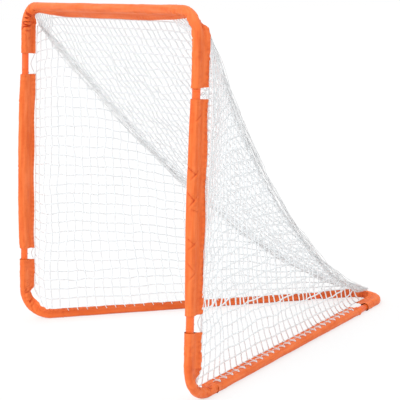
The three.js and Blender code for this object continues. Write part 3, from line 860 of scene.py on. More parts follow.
def spring_clip(name, node, place, towards):
    line = clip_line()
    other = towards.cross(place.forward)
    rings = []
    for i, (x, y) in enumerate(line):
        before, after = line[max(i - 1, 0)], line[min(i + 1, len(line) - 1)]
        way = Vector((after[0] - before[0], after[1] - before[1])).normalized()
        normal = Vector((-way.y, way.x)) * (clip_thickness / 2)
        ring = []
        for across_strip, through in ((-1, -1), (1, -1), (1, 1), (-1, 1)):
            point = place.at + towards * (x + normal.x * through)
            point = point + place.forward * (y + normal.y * through)
            ring.append(point + other * (across_strip * clip_width / 2))
        rings.append(ring)
    piece = new_piece(name, solid_mesh(name, flat_points(rings), rod_faces(rings)), [spring_steel])
    seat(piece, node)
    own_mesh(piece)


# %% Make the six buttons
for side, placed in sides.items():
    for joint, place in button_at.items():
        label = f"{side}_{joint}"
        place = placed(place)
        towards = (placed(joint_at[joint](0)).at - place.at).normalized()
        snap_button(f"{label}_pin", f"{label}_snap_button", f"{label}_button", place)
        spring_clip(f"{label}_spring", f"{label}_spring_clip", place, towards)
print("six snap buttons and their springs")

# %% [markdown]
# ## Twine, cord and thread with Geometry Nodes
# Net, seams, lacing and stitches are all one idea: a strand that follows a line. Modelling each strand
# by hand would take days. A Geometry Nodes tree sweeps a round section along every line it is given and
# sets a small knot on every point that is marked as one. It also stores how far along and how far round
# each point is, for the twine's finish.

# %% Helpers for trees
def new_tree(name, sockets):
    tree = bpy.data.node_groups.new(name, "GeometryNodeTree")
    tree.interface.new_socket("Lines", in_out="INPUT", socket_type="NodeSocketGeometry")
    for label, kind, value in sockets:
        item = tree.interface.new_socket(label, in_out="INPUT", socket_type=f"NodeSocket{kind}")
        if value is not None:
            item.default_value = value
    tree.interface.new_socket("Shape", in_out="OUTPUT", socket_type="NodeSocketGeometry")
    return tree, tree.nodes.new("NodeGroupInput").outputs


def socket_of(sockets, name):
    return next(s for s in sockets if s.name == name and s.enabled)


def step(tree, kind, settings=None, **inputs):
    """Adds a node. An input is an output socket to join to it, or a value."""
    made = tree.nodes.new(kind)
    for label, value in (settings or {}).items():
        setattr(made, label, value)
    for label, value in inputs.items():
        socket = socket_of(made.inputs, label.replace("_", " "))
        if isinstance(value, bpy.types.NodeSocket):
            tree.links.new(value, socket)
        else:
            socket.default_value = value
    return made


def finish_tree(tree, shape, finish):
    plain = step(tree, "GeometryNodeRealizeInstances", Geometry=shape)
    smooth = step(tree, "GeometryNodeSetShadeSmooth", Geometry=plain.outputs[0])
    dressed = step(tree, "GeometryNodeSetMaterial", Geometry=smooth.outputs[0], Material=finish)
    tree.links.new(dressed.outputs[0], tree.nodes.new("NodeGroupOutput").inputs[0])


# %% Running a tree
def grown(name, tree, lines, marks, values):
    """Runs a tree on lines, each a list of points, and on single marked points, and keeps the mesh."""
    points, edges = [], []
    for line in lines:
        first = len(points)
        points.extend(line)
        edges.extend((first + i, first + i + 1) for i in range(len(line) - 1))
    first_mark = len(points)
    points.extend(marks)
    mesh = bpy.data.meshes.new(name)
    mesh.from_pydata(points, edges, [])
    marked = mesh.attributes.new("mark", "BOOLEAN", "POINT")
    marked.data.foreach_set("value", [i >= first_mark for i in range(len(points))])
    seed = bpy.data.objects.new(name, mesh)
    scene.collection.objects.link(seed)
    modifier = seed.modifiers.new(tree.name, "NODES")
    modifier.node_group = tree
    for item in tree.interface.items_tree:
        if item.in_out == "INPUT" and item.name in values:
            modifier[item.identifier] = values[item.name]
    piece = settled(seed, name)
    print(size_of(piece))
    return piece


# %% The twine tree
twine_tree, given = new_tree(
    "Twine along lines",
    [
        ("Strand radius", "Float", 0.0014),
        ("Sides", "Int", 6),
        ("Knot radius", "Float", 0.0024),
        ("Seed", "Int", 4),
        ("Finish", "Material", None),
    ],
)
strands = step(twine_tree, "GeometryNodeMeshToCurve", Mesh=given["Lines"])
run = step(twine_tree, "GeometryNodeSplineParameter")
store = {"data_type": "FLOAT", "domain": "POINT"}
strands = step(
    twine_tree,
    "GeometryNodeStoreNamedAttribute",
    store,
    Geometry=strands.outputs[0],
    Name=along_name,
    Value=run.outputs["Length"],
)
section = step(
    twine_tree,
    "GeometryNodeCurvePrimitiveCircle",
    Resolution=given["Sides"],
    Radius=given["Strand radius"],
)
section = step(
    twine_tree,
    "GeometryNodeStoreNamedAttribute",
    store,
    Geometry=section.outputs[0],
    Name=around_name,
    Value=run.outputs["Factor"],
)
swept = step(
    twine_tree,
    "GeometryNodeCurveToMesh",
    Curve=strands.outputs[0],
    Profile_Curve=section.outputs[0],
    Fill_Caps=True,
)

# %% Knots of the twine tree
knot = step(
    twine_tree, "GeometryNodeMeshIcoSphere", Radius=given["Knot radius"], Subdivisions=2
)
mark = step(twine_tree, "GeometryNodeInputNamedAttribute", {"data_type": "BOOLEAN"}, Name="mark")
way = step(
    twine_tree,
    "FunctionNodeRandomValue",
    {"data_type": "FLOAT_VECTOR"},
    Max=(math.tau, math.tau, math.tau),
    Seed=given["Seed"],
)
flattened = step(
    twine_tree,
    "FunctionNodeRandomValue",
    {"data_type": "FLOAT_VECTOR"},
    Min=(0.8, 0.8, 0.6),
    Max=(1.15, 1.15, 0.95),
    Seed=given["Seed"],
)
knots = step(
    twine_tree,
    "GeometryNodeInstanceOnPoints",
    Points=given["Lines"],
    Selection=socket_of(mark.outputs, "Attribute"),
    Instance=knot.outputs[0],
    Rotation=socket_of(way.outputs, "Value"),
    Scale=socket_of(flattened.outputs, "Value"),
)
joined = twine_tree.nodes.new("GeometryNodeJoinGeometry")
for part in (knots.outputs[0], swept.outputs[0]):
    twine_tree.links.new(part, joined.inputs[0])
finish_tree(twine_tree, joined.outputs[0], given["Finish"])
print("the twine tree has", len(twine_tree.nodes), "nodes")

# %% The stitch tree
stitch_tree, given = new_tree(
    "Stitches along lines",
    [
        ("Pitch", "Float", 0.005),
        ("Stitch length", "Float", 0.0036),
        ("Thread radius", "Float", 0.00035),
        ("Finish", "Material", None),
    ],
)
rows = step(stitch_tree, "GeometryNodeMeshToCurve", Mesh=given["Lines"])
beats = step(
    stitch_tree,
    "GeometryNodeResampleCurve",
    {"mode": "LENGTH"},
    Curve=rows.outputs[0],
    Length=given["Pitch"],
)
way = step(stitch_tree, "GeometryNodeInputTangent")
facing = step(
    stitch_tree, "FunctionNodeAlignRotationToVector", {"axis": "X"}, Vector=way.outputs[0]
)
half = step(stitch_tree, "ShaderNodeMath", {"operation": "MULTIPLY"})
stitch_tree.links.new(given["Stitch length"], half.inputs[0])
half.inputs[1].default_value = 0.5
shape = step(
    stitch_tree,
    "ShaderNodeCombineXYZ",
    X=half.outputs[0],
    Y=given["Thread radius"],
    Z=given["Thread radius"],
)
bead = step(stitch_tree, "GeometryNodeMeshIcoSphere", Radius=1.0, Subdivisions=1)
stitches = step(
    stitch_tree,
    "GeometryNodeInstanceOnPoints",
    Points=beats.outputs[0],
    Instance=bead.outputs[0],
    Rotation=facing.outputs[0],
    Scale=shape.outputs[0],
)
finish_tree(stitch_tree, stitches.outputs[0], given["Finish"])
print("the stitch tree has", len(stitch_tree.nodes), "nodes")

# %% [markdown]
# ## Cloth sleeves
# Each sleeve is a strip of coated cloth folded round the tube. Its two layers are sewn together close
# to the tube, and beyond that seam they form a flap whose hem holds the net's edge cord. A cloth
# simulation could drape such a strip, but it is held all along its length, so its shape is ruled by the
# fold and the seam. The section is drawn as a drop round the tube with a flap behind, and it changes
# along the tube: looser in the middle of the posts, gathered on the inside of a bend and smooth over
# its outside, with long soft creases and a few sharp ones. A wall is added inwards at the end.

# %% Sizes of the sleeves
cloth_thickness = 0.0007
neck_reach = sleeve_radius + 0.0054
flap_width = 0.0236
flap_reach = neck_reach + flap_width
layer_half = 0.00095
hem_depth = 0.006
hem_swell = 0.0013
foot_sleeve_run = 0.150
windows = {
    "left": {
        "upper_above": 0.062,
        "upper_below": 0.018,
        "lower_above": 0.034,
        "lower_below": 0.009,
        "rear_before": 0.028,
        "rear_after": 0.016,
    },
    "right": {
        "upper_above": 0.009,
        "upper_below": 0.023,
        "lower_above": 0.040,
        "lower_below": 0.013,
        "rear_before": 0.018,
        "rear_after": 0.047,
    },
}
print("a flap reaches", round(flap_reach * 1000, 1), "mm from the tube's axis")


# %% Where the flap's edge is
def tip_at(turn):
    """Where the flap's edge is, forward and aside, when the flap is bent at its neck by that angle."""
    angle = math.radians(turn)
    return neck_reach + flap_width * math.cos(angle), flap_width * math.sin(angle)


def tip_between(a, b, share):
    share = min(max(share, 0), 1)
    return mix(a[0], b[0], share), mix(a[1], b[1], share)


straight_tip = (flap_reach, 0)
apex_tips = {"left": tip_at(18), "right": tip_at(-26)}
ground_tips = {"left": (tip_at(27), tip_at(8)), "right": (tip_at(-33), tip_at(-37))}


def ground_tip(side, distance):
    """The flap's edge along a ground bar: the left flap stands up and the right one lies over."""
    return tip_between(*ground_tips[side], (distance - foot_run) / (rear_joint - foot_run))


def foot_tip(side, share):
    return tip_between(ground_tips[side][0], straight_tip, eased(share))


def apex_tip(share):
    """The flap lies over on the right half of the apex and stands up from its middle on."""
    return tip_between(apex_tips["right"], apex_tips["left"], eased(2 * share))


print("the left flap stands", round(apex_tips["left"][1] * 1000, 1), "mm up at the apex")

# %% One ring of a sleeve
Ring = namedtuple("Ring", "place tip width swell crush wave drop", defaults=(1, 0, 0, 0, 0))
round_count = 41
flap_count = 14
neck_angle = math.radians(46)
panel_start, panel_end = -0.0026, 0.024
panel_height, panel_bow = 0.0153, 0.0014
lap_angle = math.radians(99)
lap_depth, lap_width = 0.0012, 0.0016
layer_seam = 2
hem_width, seam_width = 0.0026, 0.0016
edge_thinning, edge_start = 0.55, 0.93
seam_squeeze = 0.6
side_swell = 0.0007


def flap_bow(share):
    """How a leaning flap curves: its rise as a share, by the share of the way out to its edge."""
    return 0.6 * share + 0.4 * share * share


def bell(distance, width):
    """A smooth bump that is 1 at no distance and fades over a width."""
    return math.exp(-((distance / width) ** 2))


def panel(forward):
    """How far aside the flat side of a loose sleeve stands, between its round front and its flap."""
    share = (forward - panel_start) / (panel_end - panel_start)
    if not 0 < share < 1:
        return 0
    return mix(panel_height, layer_half, share) + panel_bow * math.sin(math.pi * share)


def ring_outline(ring):
    """Forward, aside and the flap's share of each point of the section, from the upper layer's edge."""
    reach = (ring.tip[0] - neck_reach, ring.tip[1])
    length = math.hypot(*reach) * ring.width
    lean = math.atan2(reach[1], reach[0])

    def on_flap(share, layer):
        forward = neck_reach + length * share * math.cos(lean)
        aside = length * flap_bow(share) * math.sin(lean) + ring.wave * share * share
        from_hem = (1 - share) * length - hem_depth
        from_seam = (share - layer_seam / flap_count) * length
        half = layer_half + hem_swell * bell(from_hem, hem_width)
        half *= 1 - edge_thinning * eased((share - edge_start) / (1 - edge_start))
        half *= 1 - seam_squeeze * ring.drop * bell(from_seam, seam_width)
        half = mix(half, max(half, panel(forward)), ring.drop)
        return forward - layer * half * math.sin(lean), aside + layer * half * math.cos(lean)

    neck = mix(layer_half, max(layer_half, panel(neck_reach)), ring.drop)
    outline = []
    for i in range(flap_count):
        share = 1 - i / flap_count
        outline.append((*on_flap(share, 1), share))
    outline.append((neck_reach, neck, 0))
    for i in range(round_count):
        angle = mix(neck_angle, math.tau - neck_angle, i / (round_count - 1))
        front = ring.swell * max(0, -math.cos(angle)) ** 1.5
        radius = sleeve_radius + side_swell * math.sin(angle) ** 2
        from_lap = (min(angle, math.tau - angle) - lap_angle) * radius
        radius -= ring.drop * lap_depth * bell(from_lap, lap_width)
        forward, aside = radius * math.cos(angle), radius * math.sin(angle)
        flat = math.copysign(panel(forward), aside) if from_lap < 0 else aside
        aside = mix(aside, flat, ring.drop)
        outline.append((forward - front, aside, -1))
    outline.append((neck_reach, -neck, 0))
    for i in reversed(range(flap_count)):
        share = 1 - i / flap_count
        outline.append((*on_flap(share, -1), share))
    return outline


print("a section has", 2 * flap_count + 2 + round_count, "points")


# %% Where cloth gathers
bend_reach = 9
least_curl = 0.0001
flap_gather, outside_gather, inside_gather = 0.4, 0.14, 1.3


def soft_noise(x, y, z=0.0):
    return noise.noise(Vector((x, y, z)))


def inner_ways(rings):
    """For each ring the way to the inside of the bend it is near, forward and aside, or no way."""
    at = [ring.place.at for ring in rings]
    curls = [before + after - here * 2 for before, here, after in zip(at, at[1:], at[2:])]
    curls = [curls[0]] + curls + [curls[-1]]
    ways = []
    for i, ring in enumerate(rings):
        near = sum(curls[max(i - bend_reach, 0) : i + bend_reach + 1], Vector())
        way = Vector((near.dot(ring.place.forward), near.dot(ring.place.aside)))
        ways.append(way.normalized() if way.length > least_curl else None)
    return ways


def gather_share(outwards, way, share):
    """Cloth is gathered on the inside of a bend and lies smooth over its outside."""
    if way is None:
        return 1
    if share >= 0:
        return flap_gather
    return mix(outside_gather, inside_gather, max(0, outwards.dot(way)))


print("cloth gathers", inside_gather, "inside a bend and", outside_gather, "outside it")

# %% Creases
ruffle_pitch, ruffle_height = 0.018, 0.0005
pleat_height, valley_depth, valley_width = 0.0085, 0.0034, 0.13
pleat_rest = 0.0008
# How a point's depth in a crease turns into painted shade.
crease_shade_level = 0.0014
crease_shade_span = 0.006
crease_width, crease_gap = 0.003, 0.005
long_fold, small_fold, pleat_fold = (0.013, 0.11, 0.0010), (0.008, 0.03, 0.0005), (0.03, 0.014, 1)


def fold_noise(size, run, travel, seed):
    """Noise with folds of a size: how far they reach round the section and along, and how high."""
    return soft_noise(run / size[0], travel / size[1], seed) * size[2]


def crease_depth(run, travel, crush, share, seed):
    """How far the cloth stands out at a point: run metres round the section, travel metres along."""
    long_folds = fold_noise(long_fold, run, travel, seed)
    small = fold_noise(small_fold, run, travel, seed + 7)
    pleat = fold_noise(pleat_fold, run, travel, seed + 13)
    gathers = pleat_height * abs(pleat) - valley_depth * bell(pleat, valley_width) + pleat_rest
    ruffle = math.sin(travel * math.tau / ruffle_pitch + seed) * ruffle_height
    return long_folds + small + crush * gathers + ruffle * eased((share - 0.3) * 3)


def crease_shade_value(depth, crush):
    """How much painted shade the cloth gets: half for cloth at its own level, less in a valley, where it
    is painted darker, and more on a ridge.
    """
    return 0.5 + (depth - crush * crease_shade_level) / crease_shade_span


def sharp_creases(run, travel, folds):
    """Short pulled creases. Each fold is its middle, its slope, its half length and its height."""
    depth = 0
    for run_at, travel_at, slope, half, height in folds:
        along = (travel - travel_at) * math.cos(slope) + (run - run_at) * math.sin(slope)
        aside = (run - run_at) * math.cos(slope) - (travel - travel_at) * math.sin(slope)
        if abs(along) < half * 2:
            ridge = bell(aside, crease_width) - 0.8 * bell(aside - crease_gap, crease_width)
            depth += height * ridge * math.exp(-((along / half) ** 4))
    return depth


print("a pleat's valley is up to", round(valley_depth * 1000, 1), "mm deep")

# %% One sleeve
least_radius = tube_radius + cloth_thickness + 0.0004
least_height = 0.0001
end_flare, flare_run = 0.0008, 0.006
slant_run = 0.02
neck_hold = 0.25
closing_run = 0.002
seam_places = {
    "neck up": flap_count - layer_seam,
    "neck down": layer_seam - flap_count - 1,
    "hem up": 5,
    "hem down": -6,
}


def sleeve(rings, seed, folds, slants):
    """Cloth round a row of rings, with the lines of its stitches. slants lean its two ends."""
    travels = [0]
    for before, after in zip(rings, rings[1:]):
        travels.append(travels[-1] + (after.place.at - before.place.at).length)
    total = travels[-1]
    rows, runs, crease_shade_values = [], [], []
    seams = {key: [] for key in seam_places}
    for ring, travel, inner in zip(rings, travels, inner_ways(rings)):
        outline = ring_outline(ring)
        count = len(outline)
        run, row, row_runs = 0, [], []
        near_end = min(travel, total - travel)
        flare = end_flare * bell(near_end, flare_run)
        slant = slants[0] * math.exp(-travel / slant_run)
        slant += slants[1] * math.exp(-(total - travel) / slant_run)
        for i, (forward, aside, share) in enumerate(outline):
            before, after = outline[i - 1], outline[(i + 1) % count]
            if i > 0:
                run += math.hypot(forward - before[0], aside - before[1])
            way = Vector((after[0] - before[0], after[1] - before[1])).normalized()
            outwards = Vector((0, 1)) if share >= 0 else Vector((way.y, -way.x))
            if share < 0 and outwards.dot(Vector((forward, aside))) < 0:
                outwards = -outwards
            crush = ring.crush * gather_share(outwards, inner, share)
            layer_run = flap_width * (1 - share) if share >= 0 else run
            depth = crease_depth(layer_run, travel, crush, share, seed) + flare
            depth += sharp_creases(layer_run, travel, folds)
            if share >= 0:
                depth *= mix(neck_hold, 1, min(share * 3, 1))
            # Each point's depth also sets how much painted shade it gets in the cloth's finish.
            crease_shade_values.append(crease_shade_value(depth - flare, crush))
            point = Vector((forward, aside)) + outwards * depth
            if share < 0 and point.length < least_radius:
                point = point.normalized() * least_radius
            place = beside(ring.place, point.x, point.y)
            place = place + ring.place.along * (slant * max(forward, 0) / flap_reach)
            place.z = max(place.z, least_height)
            row.append(place)
            row_runs.append(run)
        rows.append(row)
        runs.append(row_runs + [run + closing_run])
        for key, index in seam_places.items():
            seams[key].append(row[index])
    return rows, runs, travels, seams, crease_shade_values


print("a sleeve is sewn along", len(seam_places), "lines")


# %% Faces of a sleeve
def outward_faces(rows, rings):
    """Faces between the rows, turned so that the front of the sleeve looks away from its tube."""
    faces = ring_faces(rows, False)
    middle = len(rows) // 2
    front = flap_count + 1 + round_count // 2
    here, beyond, next_row = rows[middle][front], rows[middle][front + 1], rows[middle + 1][front]
    normal = (beyond - here).cross(next_row - here)
    if normal.dot(here - rings[middle].place.at) < 0:
        return [tuple(reversed(face)) for face in faces], True
    return faces, False


def cloth_mesh(name, rows, runs, travels, rings, crease_shade_values):
    faces, reversed_order = outward_faces(rows, rings)
    mesh = bpy.data.meshes.new(name)
    mesh.from_pydata(flat_points(rows), [], faces)
    count = len(rows[0])
    chart = mesh.uv_layers.new(name=cloth_map)
    values = []
    for i in range(len(rows) - 1):
        for j in range(count):
            corner = [(i, j), (i, j + 1), (i + 1, j + 1), (i + 1, j)]
            if reversed_order:
                corner.reverse()
            for row, column in corner:
                values.extend((runs[row][column], travels[row]))
    chart.data.foreach_set("uv", values)
    # The painted crease shade is stored on the points for the cloth's finish.
    mesh.attributes.new(crease_shade_name, "FLOAT", "POINT").data.foreach_set("value", crease_shade_values)
    return mesh


print("cloth is mapped in metres as", cloth_map)


# %% Dressing a tube
def dress(name, node, rings, seed, folds=(), slants=(0, 0)):
    """Makes a sleeve, gives it a wall, and sews it."""
    rows, runs, travels, seams, crease_shade_values = sleeve(rings, seed, folds, slants)
    strip = cloth_mesh(name, rows, runs, travels, rings, crease_shade_values)
    seed_piece = new_piece(name, strip, [orange_cloth, shaded_cloth_back])
    wall = seed_piece.modifiers.new("wall", "SOLIDIFY")
    wall.thickness = cloth_thickness
    wall.offset = -1
    # The inner wall takes the back of the cloth, painted dark as shade.
    wall.material_offset = 1
    wall.use_rim = True
    piece = settled(seed_piece, name)
    piece.data.set_sharp_from_angle(angle=math.radians(60))
    seat(piece, node)
    values = {"Finish": thread}
    sewing = grown(f"{name}_stitches", stitch_tree, list(seams.values()), [], values)
    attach(sewing, root)


# %% [markdown]
# ## Dressing the frame
# The eight sleeves differ in where they run and how they are pulled. At the top corners the flap is cut
# short and bunched, and on the crossbar it widens again over a hand's length. Round the feet it is half
# as wide and ruffled. The sleeve of each post is loose in front at its middle, where pulled creases
# cross it. On the ground bars the left flap stands up and the right one lies over, as far as the apex.
# Each sleeve could be bent from one pattern, but cloth slides and pulls differently at every joint, so
# every sleeve gets its own row of rings.

# %% How the cloth falls
Fall = namedtuple("Fall", "swell crush gathers fade wave waves", defaults=(0, 1, 0, 0))
falls = {
    "post": Fall(0.0012, 0.05, 0.12, 0.03, 0.0026, 3),
    "top leg": Fall(0.001, 0.1, 0.5, 0.02),
    "top bend": Fall(0.0008, 0, 0, 1, 0.0022, 4.3),
    "crossbar": Fall(0.0008, 0.04, 0.8, 0.03, 0.0008, 4),
    "foot on bar": Fall(0.0004, 0.15, 0.7, 0.025),
    "foot bend": Fall(0.0008, 0.8, 0, 1, 0.0026, 4.6),
    "foot on post": Fall(0.0022, 0.1, 0.5, 0.03),
    "bar": Fall(0, 0.06, 0.3, 0.02, 0.0016, 7),
    "apex leg": Fall(0.0004, 0.1, 0.5, 0.03),
    "apex bend": Fall(0.0005, 0.6, 0, 1, 0.0022, 6),
}


def crush_at(stretch, distance):
    """How crushed the cloth is at a distance from the nearest place where it is gathered."""
    fall = falls[stretch]
    return fall.crush + fall.gathers * math.exp(-distance / fall.fade)


def wave_at(stretch, share):
    """How far aside the flap's edge waves, by the share of the way along its stretch."""
    fall = falls[stretch]
    return fall.wave * math.sin(share * fall.waves * math.tau)


print("the cloth falls in", len(falls), "ways")

# %% Rings of the posts
ring_pitch = 0.0042
bend_rings = 34
drawn_in = {"left": 0.18, "right": 0.0}
lower_flare = {"left": 0.0, "right": 0.1}
fullness = {"left": 0.45, "right": 0.8}
flare_share = 0.3


def bump_shape(share, power=0.8):
    return math.sin(math.pi * min(max(share, 0), 1)) ** power


def post_rings(placed, side, slack):
    window = windows[side]
    low, high = leg_length + window["lower_above"], upper_joint - window["upper_below"]
    rings = []
    for height in spaced(low, high, ring_pitch):
        share = (height - low) / (high - low)
        wave = wave_at("post", share)
        crush = crush_at("post", min(height - low, high - height))
        bulge = bump_shape(share, fullness[side])
        swell = falls["post"].swell + slack * bulge
        width = 1 - drawn_in[side] * bulge + lower_flare[side] * eased(1 - share / flare_share)
        rings.append(Ring(placed(on_post(height)), straight_tip, width, swell, crush, wave, 1))
    return rings


print("rings are", ring_pitch * 1000, "mm apart")


# %% Rings of the top
top_widths = {"left": 0.96, "right": 1.08}
top_crush = {"left": 1.4, "right": 0.7}
bunched_width, bunched_rise = 0.36, 0.06
narrowing_from, narrowing_over = 0.2, 0.25
rise_from, rise_over = 0.7, 0.3
corner_widths, corner_run = (0.42, 0.74), 0.10
widening, widening_from, widening_over = 0.26, 0.06, 0.2
top_drop_over = 0.3


def corner_width(distance):
    """The flap's width near a top corner, by the distance along the crossbar from the bend's end."""
    narrow = mix(*corner_widths, eased(distance / corner_run))
    return narrow + widening * eased((distance - widening_from) / widening_over)


def bend_width(width, share):
    """The flap's width a share of the way round a top bend, from its width on the post."""
    narrow = mix(width, bunched_width, eased((share - narrowing_from) / narrowing_over))
    return narrow + bunched_rise * eased((share - rise_from) / rise_over)


def top_half(placed, side):
    """Rings from the end on a post, round the corner, to the start of the crossbar's straight run."""
    low = upper_joint + windows[side]["upper_above"]
    rings = []
    turn_at = post_length - top_run
    for height in spaced(low, turn_at, ring_pitch)[:-1]:
        place, crush = placed(on_post(height)), crush_at("top leg", turn_at - height)
        rings.append(Ring(place, straight_tip, top_widths[side], falls["top leg"].swell, crush, 0, 1))
    for i in range(bend_rings + 1):
        share = i / bend_rings
        width = bend_width(top_widths[side], share)
        drop = 1 - eased(share / top_drop_over)
        place, ripple = placed(top_bend(share)), wave_at("top bend", share)
        swell, crush = falls["top bend"].swell, top_crush[side]
        rings.append(Ring(place, straight_tip, width, swell, crush, ripple, drop))
    return rings


# %% The top sleeve
crossbar_length = mouth_width - 2 * tube_radius
crossbar_rings = []
for distance in spaced(top_run, crossbar_length - top_run, ring_pitch)[1:-1]:
    share = (distance - top_run) / (crossbar_length - 2 * top_run)
    nearest = min(distance, crossbar_length - distance) - top_run
    wave, crush = wave_at("crossbar", share), crush_at("crossbar", nearest)
    width, swell = corner_width(nearest), falls["crossbar"].swell
    crossbar_rings.append(Ring(on_crossbar(distance), straight_tip, width, swell, crush, wave))
top_rings = top_half(sides["left"], "left") + crossbar_rings + top_half(sides["right"], "right")[::-1]
dress("top_cloth", "top_sleeve", top_rings, 3.1, slants=(-0.002, 0.003))

# %% Posts
post_folds = {
    "right": [
        (0.040, 0.600, -0.9, 0.018, 0.0026),
        (0.062, 0.452, 0.9, 0.022, 0.0032),
        (0.048, 0.430, -0.8, 0.020, 0.0030),
        (0.060, 0.372, 0.75, 0.024, 0.0032),
        (0.052, 0.350, -0.7, 0.022, 0.0030),
        (0.045, 0.330, 1.2, 0.014, 0.0026),
        (0.058, 0.238, 0.9, 0.016, 0.0026),
        (0.050, 0.215, -0.9, 0.018, 0.0024),
        (0.056, 0.158, 0.7, 0.015, 0.0022),
        (0.050, 0.120, -0.8, 0.016, 0.0022),
    ],
    "left": [
        (0.058, 0.560, 0.9, 0.020, 0.0020),
        (0.050, 0.470, -0.7, 0.018, 0.0018),
        (0.060, 0.310, 0.8, 0.018, 0.0018),
        (0.040, 0.120, 1.1, 0.018, 0.0018),
    ],
}
slack = {"left": 0.011, "right": 0.008}
post_slants = {"left": (-0.002, 0.002), "right": (0.0005, -0.001)}
post_seeds = {"left": 11.3, "right": 17.9}
for side, placed in sides.items():
    dress(
        f"{side}_post_cloth",
        f"{side}_post_sleeve",
        post_rings(placed, side, slack[side]),
        post_seeds[side],
        post_folds[side],
        post_slants[side],
    )

# %% Rings of the feet
foot_widths = {
    "left": [(0, 0.95), (0.3, 0.85), (0.55, 0.55), (0.7, 0.32), (0.88, 0.28), (1, 0.9)],
    "right": [(0, 0.3), (0.12, 0.25), (0.3, 0.6), (0.5, 1.05), (1, 1.1)],
}
bar_widening, leg_widening = 0.03, 0.01
foot_drop_from, foot_drop_over = 0.6, 0.4
leg_wave, half_wave = 0.002, 0.05


def between_stops(stops, share):
    """A value that runs smoothly from stop to stop, each a share and its value."""
    for (low, before), (high, after) in zip(stops, stops[1:]):
        if share <= high:
            return mix(before, after, eased((share - low) / (high - low)))
    return stops[-1][1]


def foot_rings(placed, side):
    rings = []
    for distance in spaced(foot_sleeve_run, foot_run, ring_pitch)[:-1]:
        crush = crush_at("foot on bar", distance - foot_run)
        width = mix(foot_widths[side][0][1], 1, eased((distance - foot_run) / bar_widening))
        place, tip = placed(on_bar(distance)), ground_tip(side, distance)
        rings.append(Ring(place, tip, width, falls["foot on bar"].swell, crush))
    for i in range(bend_rings + 1):
        share = i / bend_rings
        width = between_stops(foot_widths[side], share)
        ripple = wave_at("foot bend", share)
        drop = eased((share - foot_drop_from) / foot_drop_over)
        place, fall = placed(foot_bend(share)), falls["foot bend"]
        rings.append(Ring(place, foot_tip(side, share), width, fall.swell, fall.crush, ripple, drop))
    top = leg_length - windows[side]["lower_below"]
    for height in spaced(foot_run, top, ring_pitch)[1:]:
        low_end = height - foot_run
        width = mix(foot_widths[side][-1][1], 1 + lower_flare[side], eased(low_end / leg_widening))
        crush, swell = crush_at("foot on post", low_end), falls["foot on post"].swell
        wave = leg_wave * math.sin(low_end / half_wave * math.pi)
        rings.append(Ring(placed(on_post(height)), straight_tip, width, swell, crush, wave, 1))
    return rings


print("a foot's sleeve reaches", foot_sleeve_run, "m along the bar")


# %% Rings of the ground bars and the apex
apex_widths = (0.95, 0.8)


def bar_rings(placed, side):
    front = foot_sleeve_run + fit_clearance
    rear = rear_joint - windows[side]["rear_before"]
    rings = []
    for distance in spaced(front, rear, ring_pitch):
        share = (distance - front) / (rear - front)
        place, tip = placed(on_bar(distance)), ground_tip(side, distance)
        crush = crush_at("bar", min(distance - front, rear - distance))
        rings.append(Ring(place, tip, 1, falls["bar"].swell, crush, wave_at("bar", share)))
    return rings


def apex_rings():
    start = rear_joint + windows["right"]["rear_after"]
    end = rear_joint + windows["left"]["rear_after"]
    turn_at = bar_length - apex_run
    leg_swell, bent = falls["apex leg"].swell, falls["apex bend"]
    rings = []
    for distance in spaced(start, turn_at, ring_pitch)[:-1]:
        crush = crush_at("apex leg", turn_at - distance)
        rings.append(Ring(mirrored(on_bar(distance)), apex_tips["right"], 1, leg_swell, crush))
    for i in range(2 * bend_rings + 1):
        share = i / (2 * bend_rings)
        ripple = wave_at("apex bend", share)
        width = mix(*apex_widths, bump_shape(share))
        rings.append(Ring(apex_bend(share), apex_tip(share), width, bent.swell, bent.crush, ripple))
    for distance in spaced(turn_at, end, ring_pitch)[1:]:
        crush = crush_at("apex leg", turn_at - distance)
        rings.append(Ring(on_bar(distance), apex_tips["left"], 1, leg_swell, crush))
    return rings


# %% Feet, ground bars and apex
foot_seeds = {"left": 23.7, "right": 29.5}
foot_slants = (0, -0.004)
for side, placed in sides.items():
    seed, tubes = foot_seeds[side], [f"{side}_side"]
    rings = foot_rings(placed, side)
    dress(f"{side}_foot_cloth", f"{side}_foot_sleeve", rings, seed, slants=foot_slants)
    dress(f"{side}_bar_cloth", f"{side}_bar_sleeve", bar_rings(placed, side), seed + 3)
dress("apex_cloth", "apex_sleeve", apex_rings(), 37.2)

# %% [markdown]
# ## Seams of the net
# Where the roof meets a side, the edges of the two panels are gathered in the hand and whipped
# together, and the bunch hangs in a steep curve from the top corner to the apex, where it thins and
# ends over the flap. A plain pipe would look like a hose. Here a score of strands wander round the same
# line, each with its own reach and turn, and the twine tree sweeps them.

# %% The seam's line
net_gap = 0.0024
seam_radius = 0.009
seam_clearance = 0.0008
seam_top_rise = 0.018
seam_bow = 0.035
seam_fall_power = 1.54
seam_step = 1 / 112
seam_end_shift = Vector((-0.014, 0.008, 0.0009 + seam_clearance + seam_radius))
seam_top = foot + post * (post_length - top_bend_radius + seam_top_rise)
seam_top = seam_top + bar * (flap_reach + seam_radius + seam_clearance)
apex_rear = apex + back * (apex_bend_radius - apex_bend_radius / bar.x)
apex_middle = station(apex_rear, -across, turned(-back, up, ground_flap_rise))
seam_end = beside(apex_middle, *apex_tips["left"])
seam_end = seam_end + seam_end_shift


def hump(share):
    """A curve that rises to 1 a third of the way along and falls back to 0 at the end."""
    return 27 / 4 * share * (1 - share) ** 2


def seam_point(share):
    point = mix(seam_top, seam_end, share)
    point.z = mix(seam_end.z, seam_top.z, (1 - share) ** seam_fall_power)
    return point + inward * (seam_bow * hump(share))


def seam_way(share):
    after, before = min(share + seam_step, 1), max(share - seam_step, 0)
    return (seam_point(after) - seam_point(before)).normalized()


def beside_seam(share, towards, reach=seam_radius + seam_clearance):
    along = seam_way(share)
    way = (towards - along * towards.dot(along)).normalized()
    return seam_point(share) + way * reach


